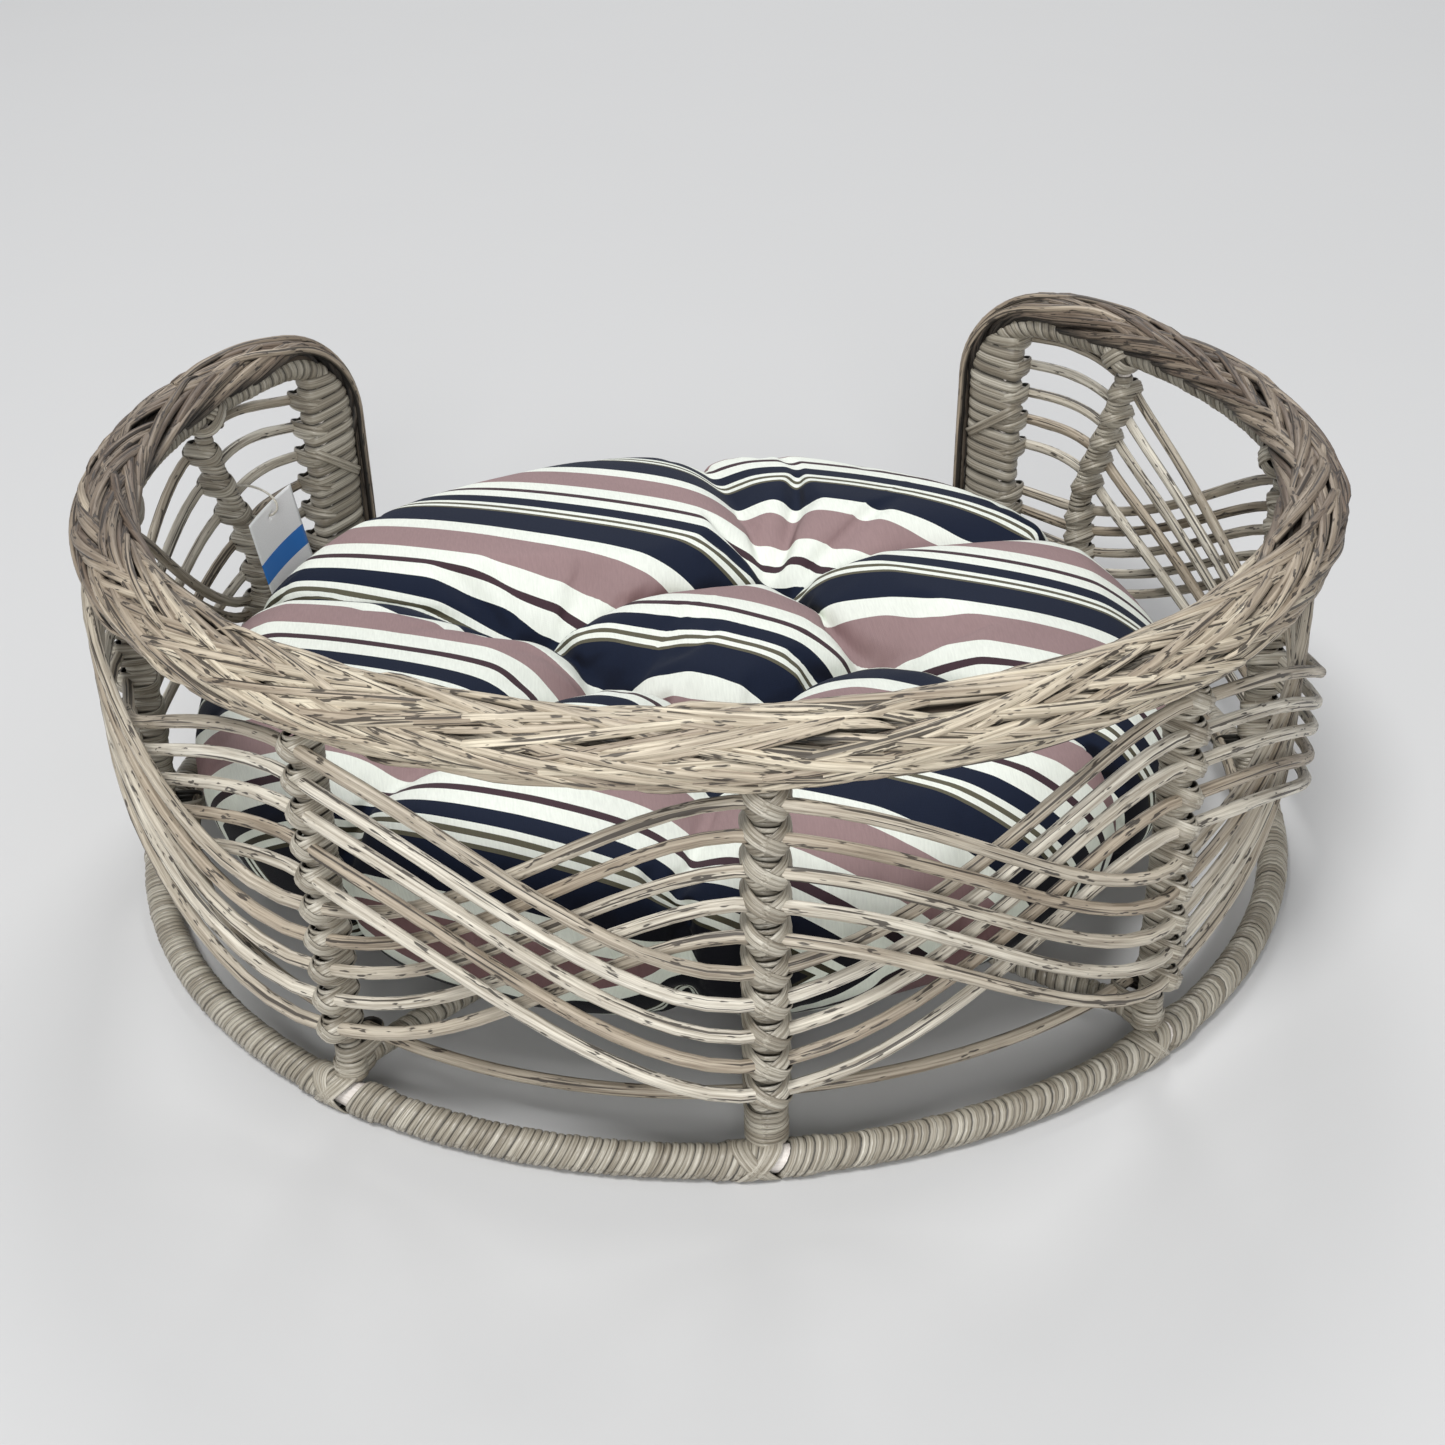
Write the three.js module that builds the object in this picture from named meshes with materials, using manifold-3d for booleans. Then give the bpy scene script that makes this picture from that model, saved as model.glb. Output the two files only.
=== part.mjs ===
// Round wicker pet bed: an open-sided basket of willow rods and rattan poles with a loose tufted cushion.
// Millimetres, +Z up. The origin is on the floor under the middle of the base ring.
// Angles round the wall are in degrees from the high back of the bed (-Y), growing towards +X, so the
// entrance, where the wall stops, is centred on +Y.
import * as THREE from "three";
import { mergeVertices } from "three/addons/utils/BufferGeometryUtils.js";
import Module from "manifold-3d";

const wasm = await Module();
wasm.setup();

// ---- driving dimensions ----
const GAP = 0.3; // between pieces that touch
const PEEL = 1.4; // thickness of the rattan peel that wraps the poles

const BASE_R = 350; // base ring, centre line
const BASE_TUBE = 9; // base ring with its wrap
const SIDES = 8; // facets round a pole
const BASE_Z = BASE_TUBE * Math.cos(Math.PI / SIDES); // the ring rests on its flat underside
const FOOT_Z = BASE_Z + BASE_TUBE + GAP; // posts and pillars stand just clear of the ring
const RING_STEPS = 48;
const WRAP_SLIT = 6; // where the two ends of the base ring's peel meet, at the back post's foot
const BACK_POST = 3; // the post in the middle of the back, counted from 0

const WALL_R = 341; // centre line of the posts, pillars and top hoop
const POST_TUBE = 9; // of the back post
const SLIM_POST_R = 344; // the other posts are slimmer, and stand close to the rods
const SLIM_POST_TUBE = 6;
const HOOP_TUBE = 8.5;
const HOOP_Z = 235;
const POST_ANGLES = [-120, -90, -40.5, -3, 34.5, 84, 121.5]; // at the foot, set by hand: not quite even
const LEANS = { 0: [-122.8, -115.5], 6: [123.1, 117.5] }; // the end posts' angles half-way up and at the top
const LEAN_FROM = 100; // they lean out up to this height, and back from here on
const LEAN_TO = 226;
const POST_STEPS = 12; // of a leaning post

const PILLAR_OUTER = 137.2; // angle of the hoop's own leg at each side of the entrance
const PILLAR_INNER = 134; // angle of the second pole of each pillar
const PILLAR_TUBE = 8.5;
const ARCH_R = 46; // bend of the hoop from the rim down into its leg
const BINDING = 1;
const ARC_STEPS = 5; // facets round each end of the binding

const ROD = 3.5; // radius of a wave rod
const ROD_R = 355; // the rods pass outside the posts
const ROD_COUNT = 5; // rods in each of the two sets
const ROD_STEPS_PER_BAY = 6;
const ROD_END = 135.5; // angle where the rods stop, on the pillars
// Rod heights at the left pillar, at each post and at the right pillar: the highest rod of the upper set
// and the step down to its next one, then the same for the lower set.
const KNOTS = [
  [205, 20.5, 100, 14.5],
  [205, 25.5, 81, 10.1],
  [214, 18.3, 122, 17.5],
  [218.5, 18.3, 127, 18.3],
  [218.5, 18.3, 127, 18.3],
  [218.5, 18.3, 127, 18.3],
  [206, 17.5, 114, 17],
  [205, 19.5, 102.5, 15.3],
  [219, 20.5, 102, 15],
];
const UPPER_SLOPE = 3.5; // of the upper set at the end posts, in millimetres a degree towards the pillar
const LOWER_SLOPE = -0.8;
const WEAVE = 6; // how far the falling set stands out, and the rising set in, where they cross
const WEAVE_EASE = 0.35; // how soon after a post the sets reach that distance; small is soon
const END_SWELL = 1.2;

const BORDER_END = 127.5; // angle where the full plait ends
const PLAIT_EDGE = 15.5; // from the hoop's centre to the plait's surface at its two edges
const PLAIT_SWELL = 9; // how much fuller the plait is midway between them
const PLAIT_SHAPE = 0.8; // below 1 the swell is broad, above 1 it is peaked
const PLAIT_SLACK = 0.8; // under the plait, where its facets and the hoop's don't line up
const TAIL_WIDTH = 20;
const TAIL_THICK = 8;
const TAIL_CLEAR = 1.1; // between the tail and the pillar's binding

const FLOOR_HOOP_R = 326;
const FLOOR_HOOP_TUBE = 3.5;
const FLOOR_HOOP_Z = 32.4;
const STRETCHER_TUBE = 6.5;
const STRETCHER_Z = 22; // at the ends; one dips and one rises where they cross
const STRETCHER_ENDS = [
  [-40.7, 121.5],
  [34.7, -120],
];

const CUSHION_X = -12; // the loose cushion lies a little to one side
const CUSHION_R = 313; // just small enough to lift out between the sides of the plait
const CUSHION_BOTTOM = 36;
const SEAM_Z = 80;
const COVER = 2;
const CUSHION_STEPS = 36;
const TIE = 1.5;
const TIE_TOP = 132;
const TIE_EASE = 0.4; // round a tie, in its hole
const TIES = [
  [50, 100],
  [165, 100],
  [220, 75],
  [275, 110],
  [335, 115],
]; // each tuft tie: angle from +X about the cushion's middle, and distance from it

const TAG_ANGLE = -122;
const TAG_R = 327;
const TAG_HOLE_Z = 149;
const TAG_WIDTH = 50;
const TAG_HEIGHT = 62;
const TAG_THICK = 0.8;
const TAG_TURN = -13; // the card hangs askew, by this angle in its own plane
const TAG_HOLE = 2.5;
const TAG_HOLE_DROP = 9; // from the card's top edge
const LOOP_ACROSS = 21; // half of the size of the tag's string loop outwards, and upwards
const LOOP_HIGH = 11;
const LOOP_R = TAG_R + LOOP_ACROSS * Math.SQRT1_2; // so that the loop runs through the card's hole
const LOOP_Z = TAG_HOLE_Z + LOOP_HIGH * Math.SQRT1_2;
const STRING = 0.8;

const material = (color, roughness) => new THREE.MeshStandardMaterial({ color, roughness, metalness: 0 });
const MATERIALS = {
  willow: material(0xb9a888, 0.75),
  plait: material(0xa58f6c, 0.8),
  peel: material(0x8f8470, 0.55),
  pole: material(0xc2a878, 0.7),
  print: material(0x8d767c, 0.9),
  filling: material(0xf1efe8, 1),
  card: material(0xf4f4f0, 0.6),
  string: material(0xe6e1d2, 0.9),
};

const bed = new THREE.Group();

function add(name, geometry, slot) {
  const mesh = new THREE.Mesh(geometry, MATERIALS[slot]);
  mesh.name = name;
  bed.add(mesh);
  return mesh;
}

const rad = THREE.MathUtils.degToRad;

// A point of the wall, by its angle from the back, its distance from the axis and its height.
function wallPoint(angle, radius, z) {
  return new THREE.Vector3(radius * Math.sin(rad(angle)), -radius * Math.cos(rad(angle)), z);
}

// ---- solids ----

function toSolid(geometry) {
  const bare = new THREE.BufferGeometry();
  bare.setAttribute("position", geometry.getAttribute("position"));
  bare.setIndex(geometry.index);
  const merged = mergeVertices(bare, 1e-4);
  const mesh = new wasm.Mesh({
    numProp: 3,
    vertProperties: merged.attributes.position.array,
    triVerts: new Uint32Array(merged.index.array),
  });
  return new wasm.Manifold(mesh);
}

function fromSolid(solid) {
  const mesh = solid.getMesh();
  const geometry = new THREE.BufferGeometry();
  geometry.setAttribute("position", new THREE.BufferAttribute(mesh.vertProperties, 3));
  geometry.setIndex(new THREE.BufferAttribute(mesh.triVerts, 1));
  geometry.computeVertexNormals();
  return geometry;
}

// A regular polygon with one flat side down, so that a pole's facets lie level.
function polygonPoints(radius, sides) {
  const points = [];
  for (let i = 0; i < sides; i++) {
    const a = ((i + 0.5) / sides) * 2 * Math.PI;
    points.push(new THREE.Vector2(radius * Math.cos(a), radius * Math.sin(a)));
  }
  return points;
}

function section(radius, innerRadius = 0, sides = SIDES) {
  const shape = new THREE.Shape(polygonPoints(radius, sides));
  if (innerRadius > 0) shape.holes.push(new THREE.Path(polygonPoints(innerRadius, sides)));
  return shape;
}

// A curve whose steps follow its own parameter, so that bends can have closer steps than straights.
class PacedCurve extends THREE.Curve {
  constructor(point) {
    super();
    this.point = point;
  }
  getPoint(t) {
    return this.point(t);
  }
  getUtoTmapping(u) {
    return u;
  }
}

function sweep(shape, path, steps) {
  return new THREE.ExtrudeGeometry(shape, { steps, extrudePath: path, bevelEnabled: false });
}

// A ring about the Z axis with the same facets as the poles.
function ring(radius, z, tube, sides = SIDES) {
  const profile = polygonPoints(tube, sides).map((p) => new THREE.Vector2(radius + p.x, p.y));
  profile.push(profile[0].clone());
  return new THREE.LatheGeometry(profile, RING_STEPS).rotateX(Math.PI / 2).translate(0, 0, z);
}

function upright(shape, height) {
  return new THREE.ExtrudeGeometry(shape, { depth: height, bevelEnabled: false });
}

function standAt(mesh, angle, radius, z) {
  mesh.position.copy(wallPoint(angle, radius, z));
  mesh.rotation.z = rad(angle);
}

// ---- base ring: a bent pole, wrapped all round but for a slit at the back post's foot ----

function baseRing() {
  add("base_ring_pole", ring(BASE_R, BASE_Z, BASE_TUBE - PEEL - GAP), "pole");
  const outer = toSolid(ring(BASE_R, BASE_Z, BASE_TUBE));
  const bore = toSolid(ring(BASE_R, BASE_Z, BASE_TUBE - PEEL));
  const cutter = new THREE.BoxGeometry(WRAP_SLIT, 4 * BASE_TUBE, 4 * BASE_TUBE);
  cutter.rotateZ(rad(POST_ANGLES[BACK_POST]));
  const foot = wallPoint(POST_ANGLES[BACK_POST], BASE_R, BASE_Z);
  cutter.translate(foot.x, foot.y, foot.z);
  add("base_ring_wrap", fromSolid(outer.subtract(bore).subtract(toSolid(cutter))), "peel");
}

// ---- floor: a thin hoop inside the posts, and two stretchers that cross under the cushion ----

function floor() {
  add("floor_hoop", ring(FLOOR_HOOP_R, FLOOR_HOOP_Z, FLOOR_HOOP_TUBE, 6), "willow");
  const offset = STRETCHER_TUBE + GAP / 2;
  const reach = SLIM_POST_R - SLIM_POST_TUBE - GAP;
  STRETCHER_ENDS.forEach(([from, to], i) => {
    const start = wallPoint(from, reach, STRETCHER_Z);
    const end = wallPoint(to, reach, STRETCHER_Z);
    const bow = i === 0 ? -offset : offset;
    const path = new PacedCurve((t) => {
      const point = start.clone().lerp(end, t);
      point.z += bow * Math.sin(Math.PI * t) ** 2;
      return point;
    });
    add("stretcher_" + (i + 1), sweep(section(STRETCHER_TUBE), path, 12), "peel");
  });
}

// ---- posts: a pole in a peel wrap, standing on the base ring ----

// Angle of a post's centre line at a height.
function postAngle(post, z) {
  if (!(post in LEANS)) return POST_ANGLES[post];
  const [middle, top] = LEANS[post];
  const { lerp, smoothstep } = THREE.MathUtils;
  if (z < LEAN_FROM) return lerp(POST_ANGLES[post], middle, smoothstep(z, FOOT_Z, LEAN_FROM));
  return lerp(middle, top, smoothstep(z, LEAN_FROM, LEAN_TO));
}

function posts() {
  const top = HOOP_Z - HOOP_TUBE - GAP;
  POST_ANGLES.forEach((_, i) => {
    const radius = i === BACK_POST ? WALL_R : SLIM_POST_R;
    const tube = i === BACK_POST ? POST_TUBE : SLIM_POST_TUBE;
    const path = new PacedCurve((t) => {
      const z = THREE.MathUtils.lerp(FOOT_Z, top, t);
      return wallPoint(postAngle(i, z), radius, z);
    });
    const steps = i in LEANS ? POST_STEPS : 1;
    add("post_pole_" + (i + 1), sweep(section(tube - PEEL - GAP), path, steps), "pole");
    add("post_wrap_" + (i + 1), sweep(section(tube, tube - PEEL), path, steps), "peel");
  });
}

// ---- top hoop: one pole along the rim, bent down at both ends into the entrance pillars ----

// Shares of the path's parameter that each leg, each bend, and a tail's last run along the rim take.
const LEG_SHARE = 0.03;
const BEND_SHARE = 0.07;
const TAIL_RUN = 0.005;

// The hoop's path, or one that stands "out" from it on the convex side of the bends.
function hoopPoint(t, out) {
  const side = t < 0.5 ? -1 : 1;
  const s = t < 0.5 ? t : 1 - t;
  const archAngle = THREE.MathUtils.radToDeg(ARCH_R / WALL_R);
  const bendStart = PILLAR_OUTER - archAngle;
  const outAngle = THREE.MathUtils.radToDeg(out / WALL_R);
  if (s < LEG_SHARE) {
    const z = THREE.MathUtils.lerp(FOOT_Z, HOOP_Z - ARCH_R, s / LEG_SHARE);
    return wallPoint(side * (PILLAR_OUTER + outAngle), WALL_R, z);
  }
  if (s < LEG_SHARE + BEND_SHARE) {
    const turn = (1 - (s - LEG_SHARE) / BEND_SHARE) * (Math.PI / 2);
    const reach = ARCH_R + out;
    const along = THREE.MathUtils.radToDeg((reach * Math.sin(turn)) / WALL_R);
    return wallPoint(side * (bendStart + along), WALL_R, HOOP_Z - ARCH_R + reach * Math.cos(turn));
  }
  const u = (s - LEG_SHARE - BEND_SHARE) / (0.5 - LEG_SHARE - BEND_SHARE);
  return wallPoint(side * bendStart * (1 - u), WALL_R, HOOP_Z + out);
}

function topHoop() {
  const steps = 64;
  const path = new PacedCurve((t) => hoopPoint(t, 0));
  add("top_hoop_pole", sweep(section(HOOP_TUBE - PEEL - GAP), path, steps), "pole");
  add("top_hoop_wrap", sweep(section(HOOP_TUBE, HOOP_TUBE - PEEL), path, steps), "peel");
}

// ---- pillars: a second pole beside each leg of the hoop, both bound together ----

function pillars() {
  const bindingTop = HOOP_Z - ARCH_R;
  const half = rad((PILLAR_OUTER - PILLAR_INNER) / 2);
  const spacing = 2 * WALL_R * Math.sin(half);
  // The second pole ends where its far edge would meet the underside of the bend.
  const far = ARCH_R - spacing + PILLAR_TUBE;
  const poleTop = HOOP_Z - ARCH_R + Math.sqrt((ARCH_R - HOOP_TUBE) ** 2 - far ** 2) - 2 * GAP;
  const inner = (PILLAR_TUBE + GAP) / Math.cos(Math.PI / (2 * ARC_STEPS));
  for (const [name, side] of [
    ["left", -1],
    ["right", 1],
  ]) {
    const pole = add("pillar_pole_" + name, upright(section(PILLAR_TUBE), poleTop - FOOT_Z), "peel");
    standAt(pole, side * PILLAR_INNER, WALL_R, FOOT_Z);
    const shape = stadium(spacing, inner + BINDING);
    shape.holes.push(stadium(spacing, inner));
    const binding = add("pillar_binding_" + name, upright(shape, bindingTop - FOOT_Z), "peel");
    const middle = (PILLAR_OUTER + PILLAR_INNER) / 2;
    standAt(binding, side * middle, WALL_R * Math.cos(half), FOOT_Z);
  }
}

// A slot outline round two circles whose centres are "spacing" apart along X.
function stadium(spacing, radius) {
  const shape = new THREE.Shape();
  const half = spacing / 2;
  for (const [centre, start] of [
    [half, -Math.PI / 2],
    [-half, Math.PI / 2],
  ])
    for (let i = 0; i <= ARC_STEPS; i++) {
      const a = start + (i / ARC_STEPS) * Math.PI;
      const x = centre + radius * Math.cos(a);
      const y = radius * Math.sin(a);
      if (shape.curves.length || shape.currentPoint.lengthSq()) shape.lineTo(x, y);
      else shape.moveTo(x, y);
    }
  shape.closePath();
  return shape;
}

// ---- wave rods: two sets of five, which rise and fall from post to post and swap places between them ----

// A rod's height at a stop: 0 is the left pillar, then come the posts, and last the right pillar. The sets
// swap at every post between, and keep their places from an end post to its pillar.
function knotHeight(stop, rod, rising) {
  const [upper, upperStep, lower, lowerStep] = KNOTS[stop];
  return isUpper(stop, rising) ? upper - rod * upperStep : lower - rod * lowerStep;
}

function isUpper(stop, rising) {
  const post = Math.min(Math.max(stop, 1), KNOTS.length - 2);
  return (post % 2 === 1) === rising;
}

// Angle, height and slope of a rod at a stop; the slope is in millimetres a degree.
function knot(stop, rod, rising) {
  const z = knotHeight(stop, rod, rising);
  const last = KNOTS.length - 1;
  if (stop === 0 || stop === last) return { angle: stop ? ROD_END : -ROD_END, z, slope: 0 };
  const side = stop === 1 ? -1 : stop === last - 1 ? 1 : 0;
  const slope = side * (isUpper(stop, rising) ? UPPER_SLOPE : LOWER_SLOPE);
  return { angle: postAngle(stop - 1, z), z, slope };
}

function rodPoint(t, rod, rising) {
  const bays = KNOTS.length - 1;
  const place = Math.min(t * bays, bays - 1e-9);
  const bay = Math.floor(place);
  const share = place - bay;
  const from = knot(bay, rod, rising);
  const to = knot(bay + 1, rod, rising);
  const width = to.angle - from.angle;
  const ease = THREE.MathUtils.smoothstep(share, 0, 1);
  const z =
    THREE.MathUtils.lerp(from.z, to.z, ease) +
    width * share * (1 - share) * (from.slope * (1 - share) - to.slope * share);
  const inEndBay = bay === 0 || bay === bays - 1;
  const end = inEndBay ? (bay === 0 ? 1 - share : share) : 0;
  const sine = Math.sin(Math.PI * (place + (rising ? 1 : 0)));
  const swap = sine * Math.sqrt((1 + WEAVE_EASE ** 2) / (sine ** 2 + WEAVE_EASE ** 2));
  const radius = ROD_R + WEAVE * swap * (inEndBay ? 0 : 1) + END_SWELL * end;
  return wallPoint(THREE.MathUtils.lerp(from.angle, to.angle, share), radius, z);
}

function waveRods() {
  const steps = (POST_ANGLES.length + 1) * ROD_STEPS_PER_BAY;
  for (const [set, rising] of [
    ["a", false],
    ["b", true],
  ])
    for (let rod = 0; rod < ROD_COUNT; rod++) {
      const path = new PacedCurve((t) => rodPoint(t, rod, rising));
      add("wave_rod_" + set + (rod + 1), sweep(section(ROD, 0, 6), path, steps), "willow");
    }
}

// ---- plaited border: covers the top and the outer side of the hoop ----

// The plait's section about the hoop's centre: an arc against the hoop, and a fuller arc outside it.
function borderShape() {
  const inner = HOOP_TUBE + GAP + PLAIT_SLACK;
  const from = rad(-35);
  const to = rad(150);
  const steps = 6;
  const shape = new THREE.Shape();
  const place = (a, r) => [-r * Math.sin(a), -r * Math.cos(a)]; // down, then towards the axis
  for (let i = 0; i <= steps; i++) {
    const a = THREE.MathUtils.lerp(from, to, i / steps);
    const fullness = Math.sin(((a - from) / (to - from)) * Math.PI);
    const [x, y] = place(a, PLAIT_EDGE + PLAIT_SWELL * fullness ** PLAIT_SHAPE);
    if (i) shape.lineTo(x, y);
    else shape.moveTo(x, y);
  }
  for (let i = steps; i >= 0; i--) {
    const [x, y] = place(THREE.MathUtils.lerp(from, to, i / steps), inner);
    shape.lineTo(x, y);
  }
  shape.closePath();
  return shape;
}

function border() {
  const along = new PacedCurve((t) =>
    wallPoint(THREE.MathUtils.lerp(-BORDER_END, BORDER_END, t), WALL_R, HOOP_Z),
  );
  add("plaited_border", sweep(borderShape(), along, 40), "plait");

  // Three or four strands of the plait run on over each bend and down the entrance side of the pillar.
  const out = HOOP_TUBE + BINDING + TAIL_CLEAR + TAIL_THICK / 2;
  for (const [name, side] of [
    ["left", -1],
    ["right", 1],
  ]) {
    const path = new PacedCurve((t) => {
      const s = t * (LEG_SHARE + BEND_SHARE + TAIL_RUN);
      return hoopPoint(side < 0 ? s : 1 - s, out);
    });
    add("border_tail_" + name, sweep(tailShape(side), path, 16), "plait");
  }
}

// The tail is flat against the pole. The sweep starts at the foot with its section laid along X and Y,
// so the outline is turned to the pillar's own angle.
function tailShape(side) {
  const outline = [
    [-TAIL_WIDTH / 2, -TAIL_THICK / 4],
    [-TAIL_WIDTH / 3, -TAIL_THICK / 2],
    [TAIL_WIDTH / 3, -TAIL_THICK / 2],
    [TAIL_WIDTH / 2, -TAIL_THICK / 4],
    [TAIL_WIDTH / 2, TAIL_THICK / 4],
    [TAIL_WIDTH / 3, TAIL_THICK / 2],
    [-TAIL_WIDTH / 3, TAIL_THICK / 2],
    [-TAIL_WIDTH / 2, TAIL_THICK / 4],
  ];
  const turn = side * rad(PILLAR_OUTER);
  const middle = new THREE.Vector2();
  return new THREE.Shape(outline.map(([x, y]) => new THREE.Vector2(x, y).rotateAround(middle, turn)));
}

// ---- cushion: a filling between an upper and a lower cover, drawn together by tuft ties ----

// Half of the cushion's outline, from the middle of the top to the seam, or from the seam to the middle.
const TOP_OUTLINE = [
  [0, 134],
  [150, 133],
  [235, 126],
  [285, 110],
  [309, 94],
];
const BOTTOM_OUTLINE = [
  [309, 62],
  [286, 46],
  [250, CUSHION_BOTTOM],
  [0, CUSHION_BOTTOM],
];

function lathe(points) {
  const profile = points.map(([r, z]) => new THREE.Vector2(r, z)).reverse();
  return new THREE.LatheGeometry(profile, CUSHION_STEPS).rotateX(Math.PI / 2).translate(CUSHION_X, 0, 0);
}

function cushion() {
  const inset = (points, sign) => points.map(([r, z]) => [Math.max(r - COVER, 0), z - sign * COVER]);
  const upperSeam = SEAM_Z + GAP / 2;
  const lowerSeam = SEAM_Z - GAP / 2;
  const innerR = CUSHION_R - COVER;
  const top = lathe([
    ...TOP_OUTLINE,
    [CUSHION_R, upperSeam],
    [innerR, upperSeam],
    ...inset(TOP_OUTLINE, 1).reverse(),
  ]);
  const bottom = lathe([
    ...inset(BOTTOM_OUTLINE, -1).reverse(),
    [innerR, lowerSeam],
    [CUSHION_R, lowerSeam],
    ...BOTTOM_OUTLINE,
  ]);
  const clear = COVER + GAP;
  const fill = lathe([
    ...TOP_OUTLINE.map(([r, z]) => [Math.max(r - clear, 0), z - clear]),
    [CUSHION_R - clear, SEAM_Z],
    ...BOTTOM_OUTLINE.map(([r, z]) => [Math.max(r - clear, 0), z + clear]),
  ]);
  let holes = null;
  TIES.forEach(([angle, distance], i) => {
    const x = CUSHION_X + distance * Math.cos(rad(angle));
    const y = distance * Math.sin(rad(angle));
    const height = TIE_TOP - CUSHION_BOTTOM;
    const tie = add("tuft_tie_" + (i + 1), upright(section(TIE, 0, 6), height), "string");
    tie.position.set(x, y, CUSHION_BOTTOM + GAP);
    const hole = toSolid(upright(section(TIE + TIE_EASE, 0, 6), 3 * height).translate(x, y, -height));
    holes = holes ? holes.add(hole) : hole;
  });
  add("cushion_cover_top", fromSolid(toSolid(top).subtract(holes)), "print");
  add("cushion_cover_bottom", fromSolid(toSolid(bottom).subtract(holes)), "print");
  add("cushion_filling", fromSolid(toSolid(fill).subtract(holes)), "filling");
}

// ---- hang tag: a card on a string loop round one of the rods ----

function hangTag() {
  const shape = new THREE.Shape();
  const half = TAG_WIDTH / 2;
  shape.moveTo(-half, TAG_HOLE_DROP - TAG_HEIGHT);
  shape.lineTo(half, TAG_HOLE_DROP - TAG_HEIGHT);
  shape.lineTo(half, TAG_HOLE_DROP);
  shape.lineTo(-half, TAG_HOLE_DROP);
  shape.closePath();
  shape.holes.push(new THREE.Path(polygonPoints(TAG_HOLE, SIDES)));
  const card = upright(shape, TAG_THICK).translate(0, 0, -TAG_THICK / 2);
  card.rotateZ(rad(TAG_TURN)).rotateX(Math.PI / 2);
  standAt(add("tag_card", card, "card"), TAG_ANGLE, TAG_R, TAG_HOLE_Z);

  // The loop is a closed cord round an ellipse, in the upright plane through the axis at the tag's angle.
  const loop = new THREE.TorusGeometry(1, STRING / LOOP_ACROSS, 6, 24);
  loop.scale(LOOP_ACROSS, LOOP_HIGH, LOOP_ACROSS);
  loop.rotateX(Math.PI / 2);
  loop.rotateZ(rad(TAG_ANGLE) - Math.PI / 2);
  const centre = wallPoint(TAG_ANGLE, LOOP_R, LOOP_Z);
  add("tag_loop", loop.translate(centre.x, centre.y, centre.z), "string");
}

baseRing();
floor();
posts();
topHoop();
pillars();
waveRods();
border();
cushion();
hangTag();

export default bed;
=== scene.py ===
"""Look of a round wicker pet bed: plaited rim, wrapped poles, tied willow rods and a tufted cushion.

Lengths are in millimetres until a mesh is made. Angles round the wall are in degrees from the high back
(-Y), growing towards +X, so the entrance is centred on +Y.
"""

import math

import bpy
import numpy as np
from mathutils import Matrix, Vector


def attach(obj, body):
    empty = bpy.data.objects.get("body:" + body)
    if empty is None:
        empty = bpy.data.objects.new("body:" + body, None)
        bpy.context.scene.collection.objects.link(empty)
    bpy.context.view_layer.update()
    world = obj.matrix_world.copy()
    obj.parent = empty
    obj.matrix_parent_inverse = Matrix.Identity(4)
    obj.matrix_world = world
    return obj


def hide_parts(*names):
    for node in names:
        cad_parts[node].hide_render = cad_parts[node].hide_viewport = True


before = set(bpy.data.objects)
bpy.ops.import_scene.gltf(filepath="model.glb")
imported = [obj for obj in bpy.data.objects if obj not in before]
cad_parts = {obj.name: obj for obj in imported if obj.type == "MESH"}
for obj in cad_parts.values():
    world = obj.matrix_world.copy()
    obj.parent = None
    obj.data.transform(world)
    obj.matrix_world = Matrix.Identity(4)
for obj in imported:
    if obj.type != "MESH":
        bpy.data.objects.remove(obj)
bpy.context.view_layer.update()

MM = 0.001
UP = np.array([0.0, 0.0, 1.0])
CIRCLE = 2 * math.pi

# ---- dimensions shared with the frame ----
BASE_R = 350.0
BASE_TUBE = 9.0
BASE_Z = BASE_TUBE * math.cos(math.pi / 8)
FOOT_Z = BASE_Z + BASE_TUBE + 0.3
WALL_R = 341.0
POST_TUBE = 9.0
HOOP_TUBE = 8.5
HOOP_Z = 235.0
POST_ANGLES = [-120, -90, -40.5, -3, 34.5, 84, 121.5]
LEANS = {0: (-122.8, -115.5), 6: (123.1, 117.5)}  # the end posts' angles half-way up and at the top
LEAN_FROM = 100.0
LEAN_TO = 226.0
BACK_POST = 3  # counted from 0; the others are slimmer, and stand close to the rods
SLIM_POST_R = 344.0
SLIM_POST_TUBE = 6.0
PILLAR_OUTER = 137.2
PILLAR_INNER = 134.0
ARCH_R = 46.0
ROD = 3.5
ROD_R = 355.0
ROD_COUNT = 5
ROD_END = 135.5
KNOTS = [
    # at the left pillar, each post and the right pillar: the upper set's highest rod and the step down to
    # its next, then the same for the lower set
    (205, 20.5, 100, 14.5),
    (205, 25.5, 81, 10.1),
    (214, 18.3, 122, 17.5),
    (218.5, 18.3, 127, 18.3),
    (218.5, 18.3, 127, 18.3),
    (218.5, 18.3, 127, 18.3),
    (206, 17.5, 114, 17),
    (205, 19.5, 102.5, 15.3),
    (219, 20.5, 102, 15),
]
UPPER_SLOPE = 3.5
LOWER_SLOPE = -0.8
WEAVE = 6.0
WEAVE_EASE = 0.35
END_SWELL = 1.2
PLAIT_EDGE = 15.5
PLAIT_SWELL = 9.0
FLOOR_HOOP_R = 326.0
FLOOR_HOOP_Z = 32.4
STRETCHER_TUBE = 6.5
STRETCHER_Z = 22.0
STRETCHER_ENDS = [(-40.7, 121.5), (34.7, -120)]
CUSHION_X = -12.0
CUSHION_R = 313.0
CUSHION_BOTTOM = 36.0
CUSHION_TOP = 134.0
TIES = [(50, 100), (165, 100), (220, 75), (275, 110), (335, 115)]
TAG_ANGLE = -122.0
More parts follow.
